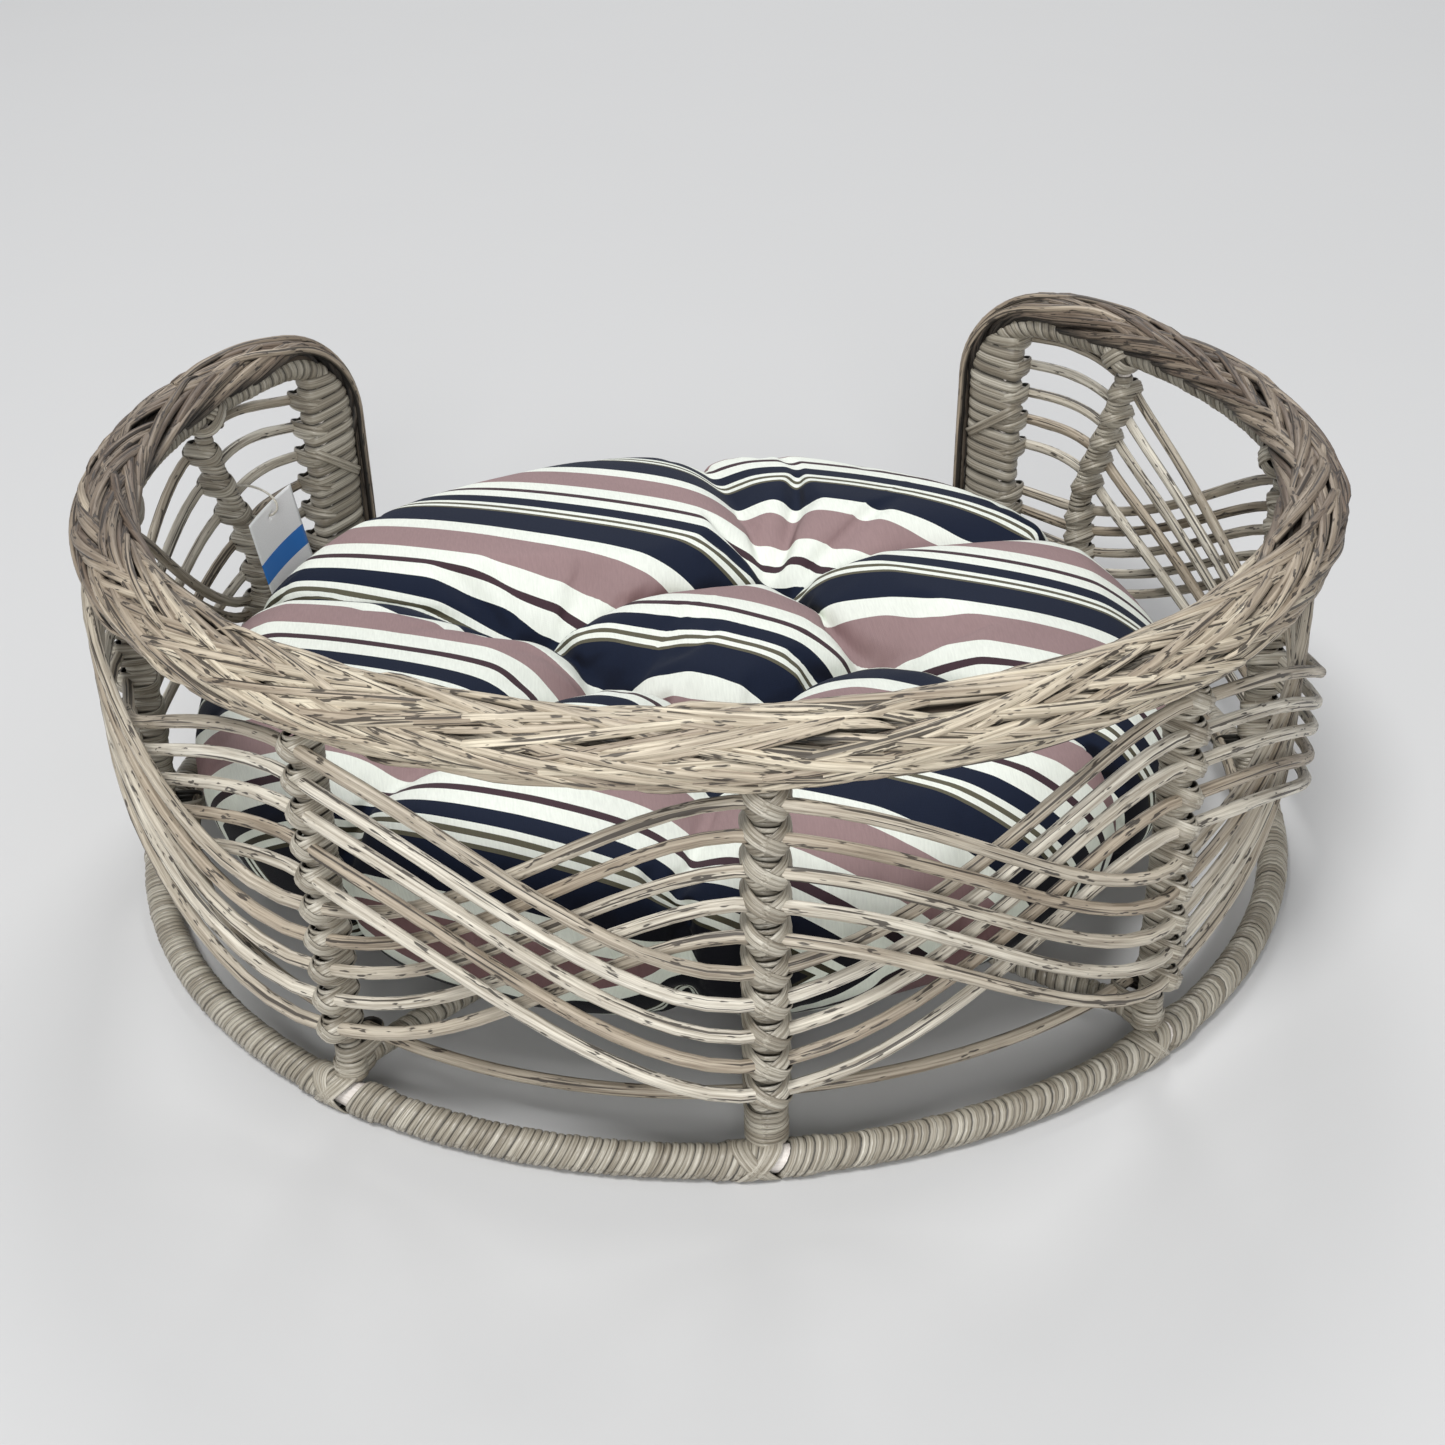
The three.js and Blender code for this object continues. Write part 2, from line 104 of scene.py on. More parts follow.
TAG_R = 327.0
TAG_HOLE_Z = 149.0
TAG_TURN = -13.0
TAG_WIDTH = 50.0
TAG_HEIGHT = 62.0
TAG_HOLE_DROP = 9.0
LOOP_ACROSS = 21.0
LOOP_HIGH = 11.0

# ---- how the pieces are wound and tied ----
STRIP_WIDE = 1.7  # half the width of a strip of peel in a knot
STRIP_HIGH = 0.75  # half its thickness
RING_PITCH = 3.9  # from turn to turn of the peel, on each kind of pole
POST_PITCH = 5.6
HOOP_PITCH = 6.3
PILLAR_PITCH = 7.6
STRETCHER_PITCH = 6.0
CORE_GAP = 1.6  # from the wrap's outside to the pole in it
FAR_ALONG = 9000.0  # each strand's grain starts somewhere within this

rng = np.random.default_rng(7)


# ---- places on the wall ----


def wall(angle, radius, z):
    """Points by their angle from the back, distance from the axis and height."""
    a = np.radians(angle)
    return np.stack(np.broadcast_arrays(radius * np.sin(a), -radius * np.cos(a), z), axis=-1)


def outward(angle):
    return wall(angle, 1.0, 0.0)


def sideways(angle):
    """The level direction along the wall in which the angle grows."""
    a = np.radians(angle)
    return np.stack(np.broadcast_arrays(np.cos(a), np.sin(a), 0.0), axis=-1)


def unit(v):
    return v / np.maximum(np.linalg.norm(v, axis=-1, keepdims=True), 1e-9)


def smooth(x, low, high):
    t = np.clip((x - low) / (high - low), 0, 1)
    return t * t * (3 - 2 * t)


# ---- meshes ----


def new_object(name, data):
    obj = bpy.data.objects.new(name, data)
    bpy.context.scene.collection.objects.link(obj)
    return obj


class Pile:
    """Points and faces of many strands, gathered into one object.

    Each point carries where it lies on its own strand (grain), the strand's shade of colour (tone), and
    how open it lies (open: 0 in a gap, 1 on a crown), for the materials, which paint shade into the gaps by
    it.
    """

    def __init__(self):
        self.points, self.grain, self.tone, self.open = [], [], [], []
        self.quads, self.caps, self.stuff = [], [], []
        self.count = 0

    def add(self, points, quads, grain, tone, crown=1.0, caps=(), stuff=0):
        n = len(points)
        self.points.append(points)
        self.grain.append(grain)
        self.tone.append(np.broadcast_to(tone, n))
        self.open.append(np.broadcast_to(crown, n))
        self.quads.append(quads + self.count)
        self.caps += [[int(i) + self.count for i in cap] for cap in caps]
        self.stuff.append(np.full(len(quads), stuff))
        self.count += n

    def make(self, name, slot, *replaces, body="basket", look=None):
        """The object, with its slot's materials or those of another slot, named as its look."""
        mesh = bpy.data.meshes.new(name)
        points = np.concatenate(self.points) * MM
        quads = np.concatenate(self.quads)
        mesh.from_pydata(points.tolist(), [], quads.tolist() + self.caps)
        for attribute, values, kind, field in (
            ("grain", np.concatenate(self.grain) * MM, "FLOAT_VECTOR", "vector"),
            ("tone", np.concatenate(self.tone), "FLOAT", "value"),
            ("open", np.concatenate(self.open), "FLOAT", "value"),
        ):
            data = mesh.attributes.new(attribute, kind, "POINT").data
            data.foreach_set(field, np.asarray(values, np.float32).ravel())
        materials = MATERIALS[look or slot]
        for material in materials:
            mesh.materials.append(material)
        if len(materials) > 1:
            stuff = np.concatenate(self.stuff + [np.zeros(len(self.caps), int)])
            mesh.polygons.foreach_set("material_index", stuff.astype(np.int32))
        mesh.shade_smooth()
        mesh.update()
        obj = new_object(name, mesh)
        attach(obj, body)
        if replaces:
            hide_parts(*replaces)
        return obj


def grid_quads(rows, columns, ring_rows=False, ring_columns=True):
    """Faces of a grid of points, closed round its columns and, if asked, round its rows."""
    index = np.arange(rows * columns).reshape(rows, columns)
    if ring_columns:
        index = np.concatenate([index, index[:, :1]], axis=1)
    if ring_rows:
        index = np.concatenate([index, index[:1]], axis=0)
    corners = (index[:-1, :-1], index[:-1, 1:], index[1:, 1:], index[1:, :-1])
    return np.stack(corners, axis=-1).reshape(-1, 4)


def squared(wave, power):
    """A sine or cosine made fuller, which makes a circle squarish."""
    return np.sign(wave) * np.abs(wave) ** power


def along_path(path):
    """Distance along a path at each of its points."""
    steps = np.linalg.norm(np.diff(path, axis=0), axis=1)
    return np.concatenate([[0], np.cumsum(steps)])


def strand(pile, path, normals, wide, high, tone, closed=False, sides=8, crown=1.0, tucked=False):
    """A rounded or flat strand along a path; its width lies across the normals, its height along them.

    A tucked strand lies close among others, so its sides are in their gaps and get painted shade.
    """
    if closed:
        ahead = np.roll(path, -1, axis=0) - np.roll(path, 1, axis=0)
    else:
        ahead = np.gradient(path, axis=0)
    ahead = unit(ahead)
    up = unit(normals - ahead * np.sum(normals * ahead, axis=1, keepdims=True))
    across = np.cross(ahead, up)
    n = len(path)
    wide = np.broadcast_to(wide, n)[:, None]
    high = np.broadcast_to(high, n)[:, None]
    a = (np.arange(sides) + 0.5) / sides * CIRCLE
    x = wide * np.cos(a)
    y = high * np.sin(a)
    points = path[:, None] + across[:, None] * x[..., None] + up[:, None] * y[..., None]
    place = np.broadcast_to(along_path(path)[:, None], x.shape) + rng.uniform(0, FAR_ALONG)
    grain = np.stack([place, x, y], axis=-1)
    caps = [] if closed else [np.arange(sides), np.arange(sides)[::-1] + (n - 1) * sides]
    quads = grid_quads(n, sides, ring_rows=closed)[:, ::-1]
    # painted shade: a tucked strand's sides and underside are marked as lying in gaps
    rounding = smooth(np.sin(a), -0.5, 0.75) if tucked else np.ones(sides)
    opened = np.broadcast_to(crown, n)[:, None] * rounding
    pile.add(points.reshape(-1, 3), quads, grain.reshape(-1, 3), tone, opened.ravel(), caps)


def lone_strand(name, slot, node, path, normals, size, tone, look=None, **shape):
    """An object of one round strand."""
    pile = Pile()
    strand(pile, path, normals, size, size, tone, **shape)
    pile.make(name, slot, node, look=look)


# Across one turn of peel: how far along it, its height and how open it lies, which sets its painted shade.
# One edge is tucked under.
TURN = ((0.0, -1.0, 0.0), (0.09, -0.15, 0.75), (0.4, 0.25, 1.0), (0.8, 0.05, 0.9), (0.95, -0.4, 0.45))


def winding(pile, surface, length, pitch, lean=0.0, closed=False, sides=14, extra=None, rise=1.0):
    """A pole's wrap of peel, as one skin with a groove between turns, which lean along the pole.

    surface gives points at places along the pole, angles round it and heights; extra adds to the heights.
    """
    turns = int(round(length / pitch))
    pitch = length / turns
    starts = (np.arange(turns) + rng.uniform(-0.12, 0.12, turns)) * pitch
    lift = rng.uniform(-0.25, 0.25, turns)
    shade = rng.uniform(0, 1, turns)
    where, height, crown = (np.array(v) for v in zip(*TURN))
    s = (starts[:, None] + where * pitch).ravel()
    h = (height * rise + lift[:, None]).ravel()
    if extra is not None:
        h = h + extra(s)
    a = np.arange(sides) / sides * CIRCLE
    fade = 1.0 if closed else smooth(s, 0, 3 * pitch) * smooth(length - s, 0, 3 * pitch)
    shift = lean * np.sin(a)[None, :] * np.broadcast_to(fade, len(s))[:, None]
    place = s[:, None] + shift
    if not closed:
        place = np.clip(place, 0, length)
    points = surface(place, np.broadcast_to(a, place.shape), h[:, None])
    rows = len(s)
    around = np.broadcast_to(a * 10.0, place.shape)
    turn_of_row = np.repeat(rng.uniform(0, FAR_ALONG, turns), len(TURN))
    grain = np.stack([around + turn_of_row[:, None], np.broadcast_to(s[:, None], place.shape),
                      np.zeros(place.shape)], axis=-1)
    tone = np.repeat(np.repeat(shade, len(TURN)), sides)
    opened = np.repeat(np.tile(crown, turns), sides)
    quads = grid_quads(rows, sides, ring_rows=closed)
    caps = [] if closed else [np.arange(sides)[::-1], np.arange(sides) + (rows - 1) * sides]
    pile.add(points.reshape(-1, 3), quads, grain.reshape(-1, 3), tone, opened, caps)


def round_skin(path_at, radius):
    """The surface of a round pole; path_at gives its centre and two directions across it at places."""

    def surface(s, a, h):
        centre, first, second = path_at(s)
        r = radius + h
        return centre + first * (np.cos(a) * r)[..., None] + second * (np.sin(a) * r)[..., None]

    return surface


def band(pile, centre, first, second, reach, width, wide=STRIP_WIDE, steps=22, power=0.75):
    """A closed strip of peel round something: a squarish oval in the plane of two directions."""
    t = np.arange(steps) / steps * CIRCLE
    c = reach * squared(np.cos(t), power)
    s = width * squared(np.sin(t), power)
    path = centre + c[:, None] * first + s[:, None] * second
    normals = unit((np.cos(t) / reach)[:, None] * first + (np.sin(t) / width)[:, None] * second)
    strand(pile, path, normals, wide, STRIP_HIGH, rng.uniform(0, 1), closed=True, tucked=True)


def limb(pile, centre, out, side, tilt, strips, pitch, reach, width, **shape):
    """Strips of peel side by side round a joint, tilted up by an angle; the middle is fullest."""
    t = math.radians(tilt)
    along = math.cos(t) * side + math.sin(t) * UP
    across = -math.sin(t) * side + math.cos(t) * UP
    for i in range(strips):
        from_middle = i - (strips - 1) / 2
        place = centre + from_middle * pitch * across
        band(pile, place, out, along, reach - 0.25 * abs(from_middle), width, **shape)


def crossed_bands(pile, centre, out, side, reach, width, tilt, strips=3, pitch=3.1):
    """Two limbs that cross in an X over the front and the back of a joint, one over the other."""
    limb(pile, centre, out, side, tilt, strips, pitch, reach, width)
    limb(pile, centre, out, side, -tilt, strips, pitch, reach + 0.7, width + 0.5)


# ---- base ring ----


def base_ring():
    angles = np.linspace(0, 360, 180, endpoint=False)
    lone_strand("base_ring_core", "rattan_pole", "base_ring_pole", wall(angles, BASE_R, BASE_Z),
                outward(angles), BASE_TUBE - CORE_GAP - 0.1, 0.5, closed=True, sides=14)

    length = CIRCLE * BASE_R
    feet = np.radians(np.array(POST_ANGLES + [-PILLAR_INNER - 3, PILLAR_INNER + 3])) * BASE_R

    def thickness(s):
        """Doubled turns on each side of a foot, and a bare stretch of pole under it."""
        gap = np.min(np.abs((s[:, None] - feet + length / 2) % length - length / 2), axis=1)
        doubled = smooth(gap, 7, 9) * smooth(-gap, -27, -24)
        return 1.1 * doubled - 2.4 * smooth(-gap, -7, -5.5)

    def surface(s, a, h):
        angle = np.degrees(s / BASE_R)
        r = BASE_TUBE - 0.2 + h
        out = outward(angle) * (np.cos(a) * r)[..., None]
        low = np.maximum(BASE_Z + np.sin(a) * r, 0.2)
        return wall(angle, BASE_R, 0.0) + out + UP * low[..., None]

    wrap = Pile()
    winding(wrap, surface, length, RING_PITCH, lean=4.5, closed=True, extra=thickness, rise=0.8)
    for post, angle in enumerate(POST_ANGLES):
        foot_lashing(wrap, angle, *post_size(post))
    for side in (-1, 1):
        for angle in (PILLAR_INNER, PILLAR_OUTER):
            foot_lashing(wrap, side * angle, WALL_R, POST_TUBE)
    wrap.make("base_ring_winding", "rattan_peel", "base_ring_wrap")


def foot_lashing(pile, angle, radius, tube):
    """Peel slung slantwise round the base ring under a foot, from both sides, and level turns above it."""
    t = np.arange(26) / 26 * CIRCLE
    out, side = outward(angle), sideways(angle)
    for sign, shift in ((1, -5.5), (-1, 6.5)):
        for offset in (-3.1, 0, 3.1):
            centre = wall(angle, BASE_R, BASE_Z) + side * (shift * sign + offset)
            normals = np.cos(t)[:, None] * out + np.sin(t)[:, None] * UP
            path = centre + normals * (BASE_TUBE + 0.9) - (sign * 9.0 * np.sin(t))[:, None] * side
            path[:, 2] = np.maximum(path[:, 2], 0.7)
            tone = rng.uniform(0, 1)
            strand(pile, path, normals, STRIP_WIDE, STRIP_HIGH, tone, closed=True, tucked=True)
    for rise in (0, 3.0, 6.0, 9.0):
        centre = wall(angle, radius, FOOT_Z + rise)
        band(pile, centre, out, side, tube + 1.6, tube + 1.6, power=1.0)


# ---- posts ----


def post_angle(post, z):
    """Angle of a post's centre line at a height; the two end posts are bent."""
    foot = POST_ANGLES[post]
    middle, top = LEANS.get(post, (foot, foot))
    leant = foot + (middle - foot) * smooth(z, FOOT_Z, LEAN_FROM)
    return leant + (top - middle) * smooth(z, LEAN_FROM, LEAN_TO)


def post_size(post):
    """Distance of a post from the axis, and its radius with its wrap."""
    return (WALL_R, POST_TUBE) if post == BACK_POST else (SLIM_POST_R, SLIM_POST_TUBE)


def posts():
    top = HOOP_Z - HOOP_TUBE
    low = FOOT_Z - 1
    for post in range(len(POST_ANGLES)):
        radius, tube = post_size(post)
        z = np.linspace(FOOT_Z - 8, top, 40)
        angle = post_angle(post, z)
        lone_strand(f"post_core_{post + 1}", "rattan_pole", f"post_pole_{post + 1}",
                    wall(angle, radius, z), outward(angle), tube - CORE_GAP, 0.5, sides=14)

        def path_at(s, post=post, radius=radius):
            angle = post_angle(post, low + s)
            return wall(angle, radius, low + s), outward(angle), sideways(angle)

        wrap = Pile()
        winding(wrap, round_skin(path_at, tube - 0.1), top - 9 - low, POST_PITCH, lean=1.0)
        heights = sorted(rod_heights(post + 1))
        for i, z in enumerate(heights):
            joint(wrap, post, z)
            if i + 1 < len(heights):
                between_joints(wrap, post, z, heights[i + 1])
        wrap.make(f"post_winding_{post + 1}", "rattan_peel", f"post_wrap_{post + 1}")


def joint(pile, post, z):
    """A bead of peel that ties a rod to a post: tight turns, and over them the two limbs of a V."""
    radius, tube = post_size(post)
    angle = post_angle(post, z)
    out, side = outward(angle), sideways(angle)
    near = radius - tube - 0.6
    far = ROD_R + ROD + 1.0
    reach = (far - near) / 2
    width = tube + 0.8 if post == BACK_POST else tube + 0.2
    centre = wall(angle, (near + far) / 2, z)
    for rise, fuller in ((-4.9, -1.6), (-2.4, -0.2), (2.6, -0.4), (4.9, -1.9)):
        level = unit(side + UP * rng.uniform(-0.12, 0.12))
        band(pile, centre + UP * rise, out, level, reach + fuller, width + fuller * 0.6, wide=1.5)
    crossed_bands(pile, centre - UP * 1.2, out, side, reach + 0.7, width + 1.4, tilt=30, pitch=2.3)


def between_joints(pile, post, low, high):
    """Turns of peel, a little slack, in the space between two joints."""
    radius, tube = post_size(post)
    for share in (0.3, 0.43, 0.57, 0.7):
        z = low + (high - low) * share + rng.uniform(-0.4, 0.4)
        angle = post_angle(post, z)
        near = radius - tube - 0.5
        far = ROD_R - 1.5
        centre = wall(angle, (near + far) / 2, z)
        level = unit(sideways(angle) + UP * rng.uniform(-0.2, 0.2))
        band(pile, centre, outward(angle), level, (far - near) / 2, tube - 0.4, wide=1.5)


# ---- wave rods ----

BAYS = len(KNOTS) - 1


def is_upper(stop, rising):
    """Whether a set is the upper one at a stop; the sets swap at every post between the end posts."""
    post = min(max(stop, 1), BAYS - 1)
    return (post % 2 == 1) == rising


def knot(stop, rod, rising):
    """Angle, height and slope (millimetres a degree) of a rod at a stop."""
    upper = is_upper(stop, rising)
    first, step = KNOTS[stop][:2] if upper else KNOTS[stop][2:]
    z = first - rod * step
    if stop in (0, BAYS):
        return (ROD_END if stop else -ROD_END), z, 0.0
    side = -1 if stop == 1 else 1 if stop == BAYS - 1 else 0
    return post_angle(stop - 1, z), z, side * (UPPER_SLOPE if upper else LOWER_SLOPE)


def rod_line(place, rod, rising):
    """Angle, distance and height of a rod; place counts bays from its left end."""
    stops = np.array([knot(stop, rod, rising) for stop in range(BAYS + 1)], float)
    bay = np.clip(np.floor(place), 0, BAYS - 1).astype(int)
    share = place - bay
    angle_a, z_a, slope_a = stops[bay].T
    angle_b, z_b, slope_b = stops[bay + 1].T
    z = z_a + (z_b - z_a) * smooth(share, 0, 1)
    z = z + (angle_b - angle_a) * share * (1 - share) * (slope_a * (1 - share) - slope_b * share)
    end = np.maximum(np.clip(1 - place, 0, 1), np.clip(place - (BAYS - 1), 0, 1))
    sine = np.sin(math.pi * (place + (1 if rising else 0)))
    swap = sine * np.sqrt((1 + WEAVE_EASE**2) / (sine**2 + WEAVE_EASE**2))
    radius = ROD_R + WEAVE * swap * (end <= 0) + END_SWELL * end
    return angle_a + (angle_b - angle_a) * share, radius, z


def rod_heights(stop):
    """Height of each rod where it passes a stop."""
    return [knot(stop, rod, rising)[1] for rising in (False, True) for rod in range(ROD_COUNT)]


def wave_rods():
    steps = BAYS * 16 + 1
    for name, rising in (("a", False), ("b", True)):
        for rod in range(ROD_COUNT):
            place = np.linspace(0, BAYS, steps)
            angle, radius, z = rod_line(place, rod, rising)
            wobble = np.interp(place, np.linspace(0, BAYS, 20), rng.normal(0, 0.6, 20))
            path = wall(angle, radius, z + wobble)
            size = ROD * np.interp(place, np.linspace(0, BAYS, 14), rng.uniform(0.93, 1.06, 14))
            size = size * knuckles(along_path(path))
            size[[0, -1]] *= 0.6
            node = f"wave_rod_{name}{rod + 1}"
            tone = rng.uniform(0, 1)
            lone_strand(node + "_bark", "willow_rod", node, path, outward(angle), size, tone, sides=12)


def knuckles(s):
    """The slight swelling of a willow rod at its leaf scars."""
    swell = np.ones_like(s)
    for at in np.arange(rng.uniform(30, 150), s[-1], 170):
        swell = swell + 0.09 * np.exp(-(((s - at) / 6) ** 2))
    return swell


# ---- top hoop, its bends and legs ----


def hoop_line():
    """Points, outward directions and upper-side directions along the hoop, from one foot to the other."""
    bend_start = PILLAR_OUTER - math.degrees(ARCH_R / WALL_R)
    half = [(PILLAR_OUTER, z, 1.0, 0.0) for z in np.linspace(FOOT_Z, HOOP_Z - ARCH_R, 30)[:-1]]
    for turn in np.linspace(math.pi / 2, 0, 24):
        angle = bend_start + math.degrees(ARCH_R * math.sin(turn) / WALL_R)
        half.append((angle, HOOP_Z - ARCH_R + ARCH_R * math.cos(turn), math.sin(turn), math.cos(turn)))
    half += [(angle, HOOP_Z, 0.0, 1.0) for angle in np.linspace(bend_start, 0, 90)[1:]]
    whole = [(-angle, z, -aside, upward) for angle, z, aside, upward in half] + half[-2::-1]
    angle, z, aside, upward = np.array(whole).T
    ups = aside[:, None] * sideways(angle) + upward[:, None] * UP
    return wall(angle, WALL_R, z), outward(angle), ups


HOOP_POINTS, HOOP_OUTS, HOOP_UPS = hoop_line()
HOOP_PLACES = along_path(HOOP_POINTS)
HOOP_LENGTH = HOOP_PLACES[-1]
LEG = HOOP_Z - ARCH_R - FOOT_Z
BEND = ARCH_R * math.pi / 2


def hoop_at(s):
    """The hoop's centre, outward direction and upper side at places along it."""
    parts = []
    for table in (HOOP_POINTS, HOOP_OUTS, HOOP_UPS):
        parts.append(np.stack([np.interp(s, HOOP_PLACES, table[:, k]) for k in range(3)], axis=-1))
    return parts[0], unit(parts[1]), unit(parts[2])


def top_hoop():
    centre, out, _ = hoop_at(np.linspace(2, HOOP_LENGTH - 2, 240))
    core = HOOP_TUBE - CORE_GAP - 0.3
    lone_strand("top_hoop_core", "rattan_pole", "top_hoop_pole", centre, out, core, 0.5, sides=12)

    start = LEG - 12

    def path_at(s):
        return hoop_at(start + s)

    wrap = Pile()
    winding(wrap, round_skin(path_at, HOOP_TUBE), HOOP_LENGTH - 2 * start, HOOP_PITCH, lean=2.2)
    for post in range(len(POST_ANGLES)):
        angle = post_angle(post, HOOP_Z)
        centre = wall(angle, WALL_R, HOOP_Z - 3)
        crossed_bands(wrap, centre, outward(angle), sideways(angle), 12.0, 13.0, tilt=38)
    wrap.make("top_hoop_winding", "rattan_peel", "top_hoop_wrap")


# ---- entrance pillars ----


def pillars():
    half = math.radians((PILLAR_OUTER - PILLAR_INNER) / 2)
    spread = WALL_R * math.sin(half)
    middle = (PILLAR_OUTER + PILLAR_INNER) / 2
    tube = 8.5
    top = HOOP_Z - 11
    for name, side in (("left", -1), ("right", 1)):
        angle = side * middle
        toward = side * sideways(angle)
        path = wall(side * PILLAR_INNER, WALL_R, np.linspace(FOOT_Z - 6, top - 3, 20))
        lone_strand(f"pillar_core_{name}", "rattan_peel", f"pillar_pole_{name}", path,
                    np.tile(outward(angle), (20, 1)), 8.2, 0.4, look="rattan_pole", sides=12)

        def surface(s, a, h, angle=angle, toward=toward):
            z = FOOT_Z - 1 + s
            rise = np.clip((z - (HOOP_Z - ARCH_R)) / ARCH_R, 0, 0.999)
            leg = spread - ARCH_R * (1 - np.sqrt(1 - rise**2))
            far = leg + tube + 1.2
            near = -spread - tube - 1.2
            reach = (far - near) / 2 + h
            thick = tube + 1.4 + h
            x = (far + near) / 2 + reach * squared(np.sin(a), 0.8)
            y = thick * squared(np.cos(a), 0.55)
            centre = wall(angle, WALL_R * math.cos(half), 0.0)
            return centre + toward * x[..., None] + outward(angle) * y[..., None] + UP * z[..., None]

        wrap = Pile()
        winding(wrap, surface, top - FOOT_Z + 1, PILLAR_PITCH, lean=3.2, sides=28, rise=1.5)
        centre = wall(angle, WALL_R * math.cos(half), 0.0)
        for z, tilt in ((72, 28), (158, -34)):
            limb(wrap, centre + UP * z, outward(angle), toward, tilt, 2, 3.4, 11.725, 22.5,
                 wide=1.8, steps=30, power=0.6)
        for z in rod_heights(0 if side < 0 else BAYS):
            place = wall(side * PILLAR_INNER, WALL_R + 6, z)
            crossed_bands(wrap, place, outward(angle), toward, 14.0, 10.6, tilt=16, strips=2)
        wrap.make(f"pillar_winding_{name}", "rattan_peel", f"pillar_binding_{name}")


# ---- plaited rim ----

FULL_FROM = LEG + BEND + 0.10 * WALL_R  # along the hoop: the plait has its full width from here on


def fullness(s):
    """1 where the plait has its full width, 0 on the bends and legs, where only its tail runs."""
    inside = np.minimum(s, HOOP_LENGTH - s)
    return smooth(inside, LEG + BEND * 0.35, FULL_FROM)


def plait_place(s, v, h):
    """A point of the plait: v runs from its inner lip (0) over the top to its lower outer edge (1)."""
    w = fullness(s)
    high = np.radians(128 + 24 * w)
    low = np.radians(52 - 88 * w)
    a = high + (low - high) * v
    swell = np.sin(np.clip(v, 0, 1) * math.pi) ** 0.8
    r = (16.2 + (PLAIT_EDGE - 16.2) * w) + (1.2 + (PLAIT_SWELL - 1.2) * w) * swell + h
    centre, out, up = hoop_at(s)
    normal = out * np.cos(a)[..., None] + up * np.sin(a)[..., None]
    return centre + normal * r[..., None], normal


# Each course of the plait: its span across (v), how far a strand runs along while it crosses the course,
# the distance between its bundles of three strands, and the share of strands that end in a free tip.
COURSES = (
    (0.00, 0.27, -118, 46.0, 0.25),
    (0.18, 0.48, 126, 44.0, 0.3),
    (0.38, 0.68, -132, 44.0, 0.35),
    (0.57, 0.87, 138, 46.0, 0.45),
    (0.76, 1.02, -142, 46.0, 0.6),
)


def plait():
    pile = Pile()
    plait_core(pile)
    first = LEG + BEND * 0.75
    last = HOOP_LENGTH - first
    for low, high, run, spacing, tips in COURSES:
        for start in np.arange(first, last, spacing):
            start = start + rng.uniform(-6, 6)
            lift = rng.uniform(-0.6, 0.6)
            swerve = rng.normal(0, 0.035)
            longer = rng.uniform(0.75, 1.2)
            for place, stands in ((-1, -0.9), (0, 0.8), (1, -0.3)):
                along = start + place * spacing * rng.uniform(0.22, 0.33)
                plait_strand(pile, along, low + swerve, high + swerve, run * longer, lift + stands,
                             rng.random() < tips)
    pile.make("plait_strands", "willow_plait", "plaited_border")


def plait_strand(pile, start, low, high, run, lift, tip):
    """One strand: out from under its neighbours, across its course, and under the next or to a tip."""
    t = np.linspace(-0.2, 1.2, 22)
    s = start + run * (t - 0.5) * rng.uniform(0.9, 1.12)
    nearest = LEG * 0.8
    if np.sum((s > nearest) & (s < HOOP_LENGTH - nearest)) < 8:
        return
    s = np.clip(s, nearest, HOOP_LENGTH - nearest)
    bow = rng.normal(0, 0.02) * np.sin(t * math.pi)
    v = low + (high - low) * (t + rng.uniform(-0.08, 0.08)) + bow + rng.normal(0, 0.012)
    arch = 1 - (2 * t - 1) ** 2
    h = -5.2 + 3.0 * np.maximum(arch, 0) ** 0.6 - 9.0 * np.maximum(-arch, 0)
    h = h + lift + rng.uniform(-0.4, 0.4)
    size = rng.uniform(0.72, 1.12) * (1 + 0.06 * np.sin(t * 9 + rng.uniform(0, 6)))
    if tip:
        h = h + smooth(t, 0.7, 1.1) * rng.uniform(3.5, 6.5)
        size = size * (1 - 0.88 * smooth(t, 0.85, 1.2))
    path, normals = plait_place(s, np.clip(v, -0.03, 1.04), h)
    angle = np.degrees(np.arctan2(path[:, 0], -path[:, 1]))
    # Strands darken from the front towards the arms: partly the willow's browner tone there, partly painted
    # shade, which sets in sooner on the right arm.
    arm_brown_and_shade = np.maximum(smooth(-angle, 42, 80), smooth(angle, 36, 66))
    tone = np.clip(0.15 + 0.68 * arm_brown_and_shade + rng.normal(0, 0.15), 0, 1)
    # painted shade: the lower a strand lies under its neighbours, the less open it is marked and the darker
    # it is painted
    crown = 0.2 + 0.8 * smooth(h, -5.8, -2.4)
    sides = 8
    tones = np.repeat(tone, sides)
    strand(pile, path, normals, 2.9 * size, 2.6 * size, tones, sides=sides, crown=crown, tucked=True)


def plait_core(pile):
    """What lies under the strands: a near-black sheet, so that the gaps between them show painted shade."""
    rows, columns = 260, 14
    first = LEG + BEND * 0.7
    s = np.linspace(first, HOOP_LENGTH - first, rows)
    v = np.linspace(0.02, 0.98, columns)
    ss, vv = np.meshgrid(s, v, indexing="ij")
    outer = plait_place(ss, vv, np.full_like(ss, -6.6))[0]
    direction = unit(plait_place(ss, vv[:, ::-1], np.zeros_like(ss))[1])
    inner = hoop_at(ss)[0] + direction * (HOOP_TUBE + 0.2)
    points = np.concatenate([outer, inner], axis=1).reshape(-1, 3)
    grain = np.stack([np.repeat(s, 2 * columns), np.tile(np.arange(2 * columns) * 3.0, rows),
                      np.zeros(rows * 2 * columns)], axis=-1)
    ends = np.arange(2 * columns)
    caps = [ends, ends[::-1] + (rows - 1) * 2 * columns]
    # stuff 1 is the near-black sheet of painted shade
    pile.add(points, grid_quads(rows, 2 * columns)[:, ::-1], grain, 0.5, 0.2, caps, stuff=1)


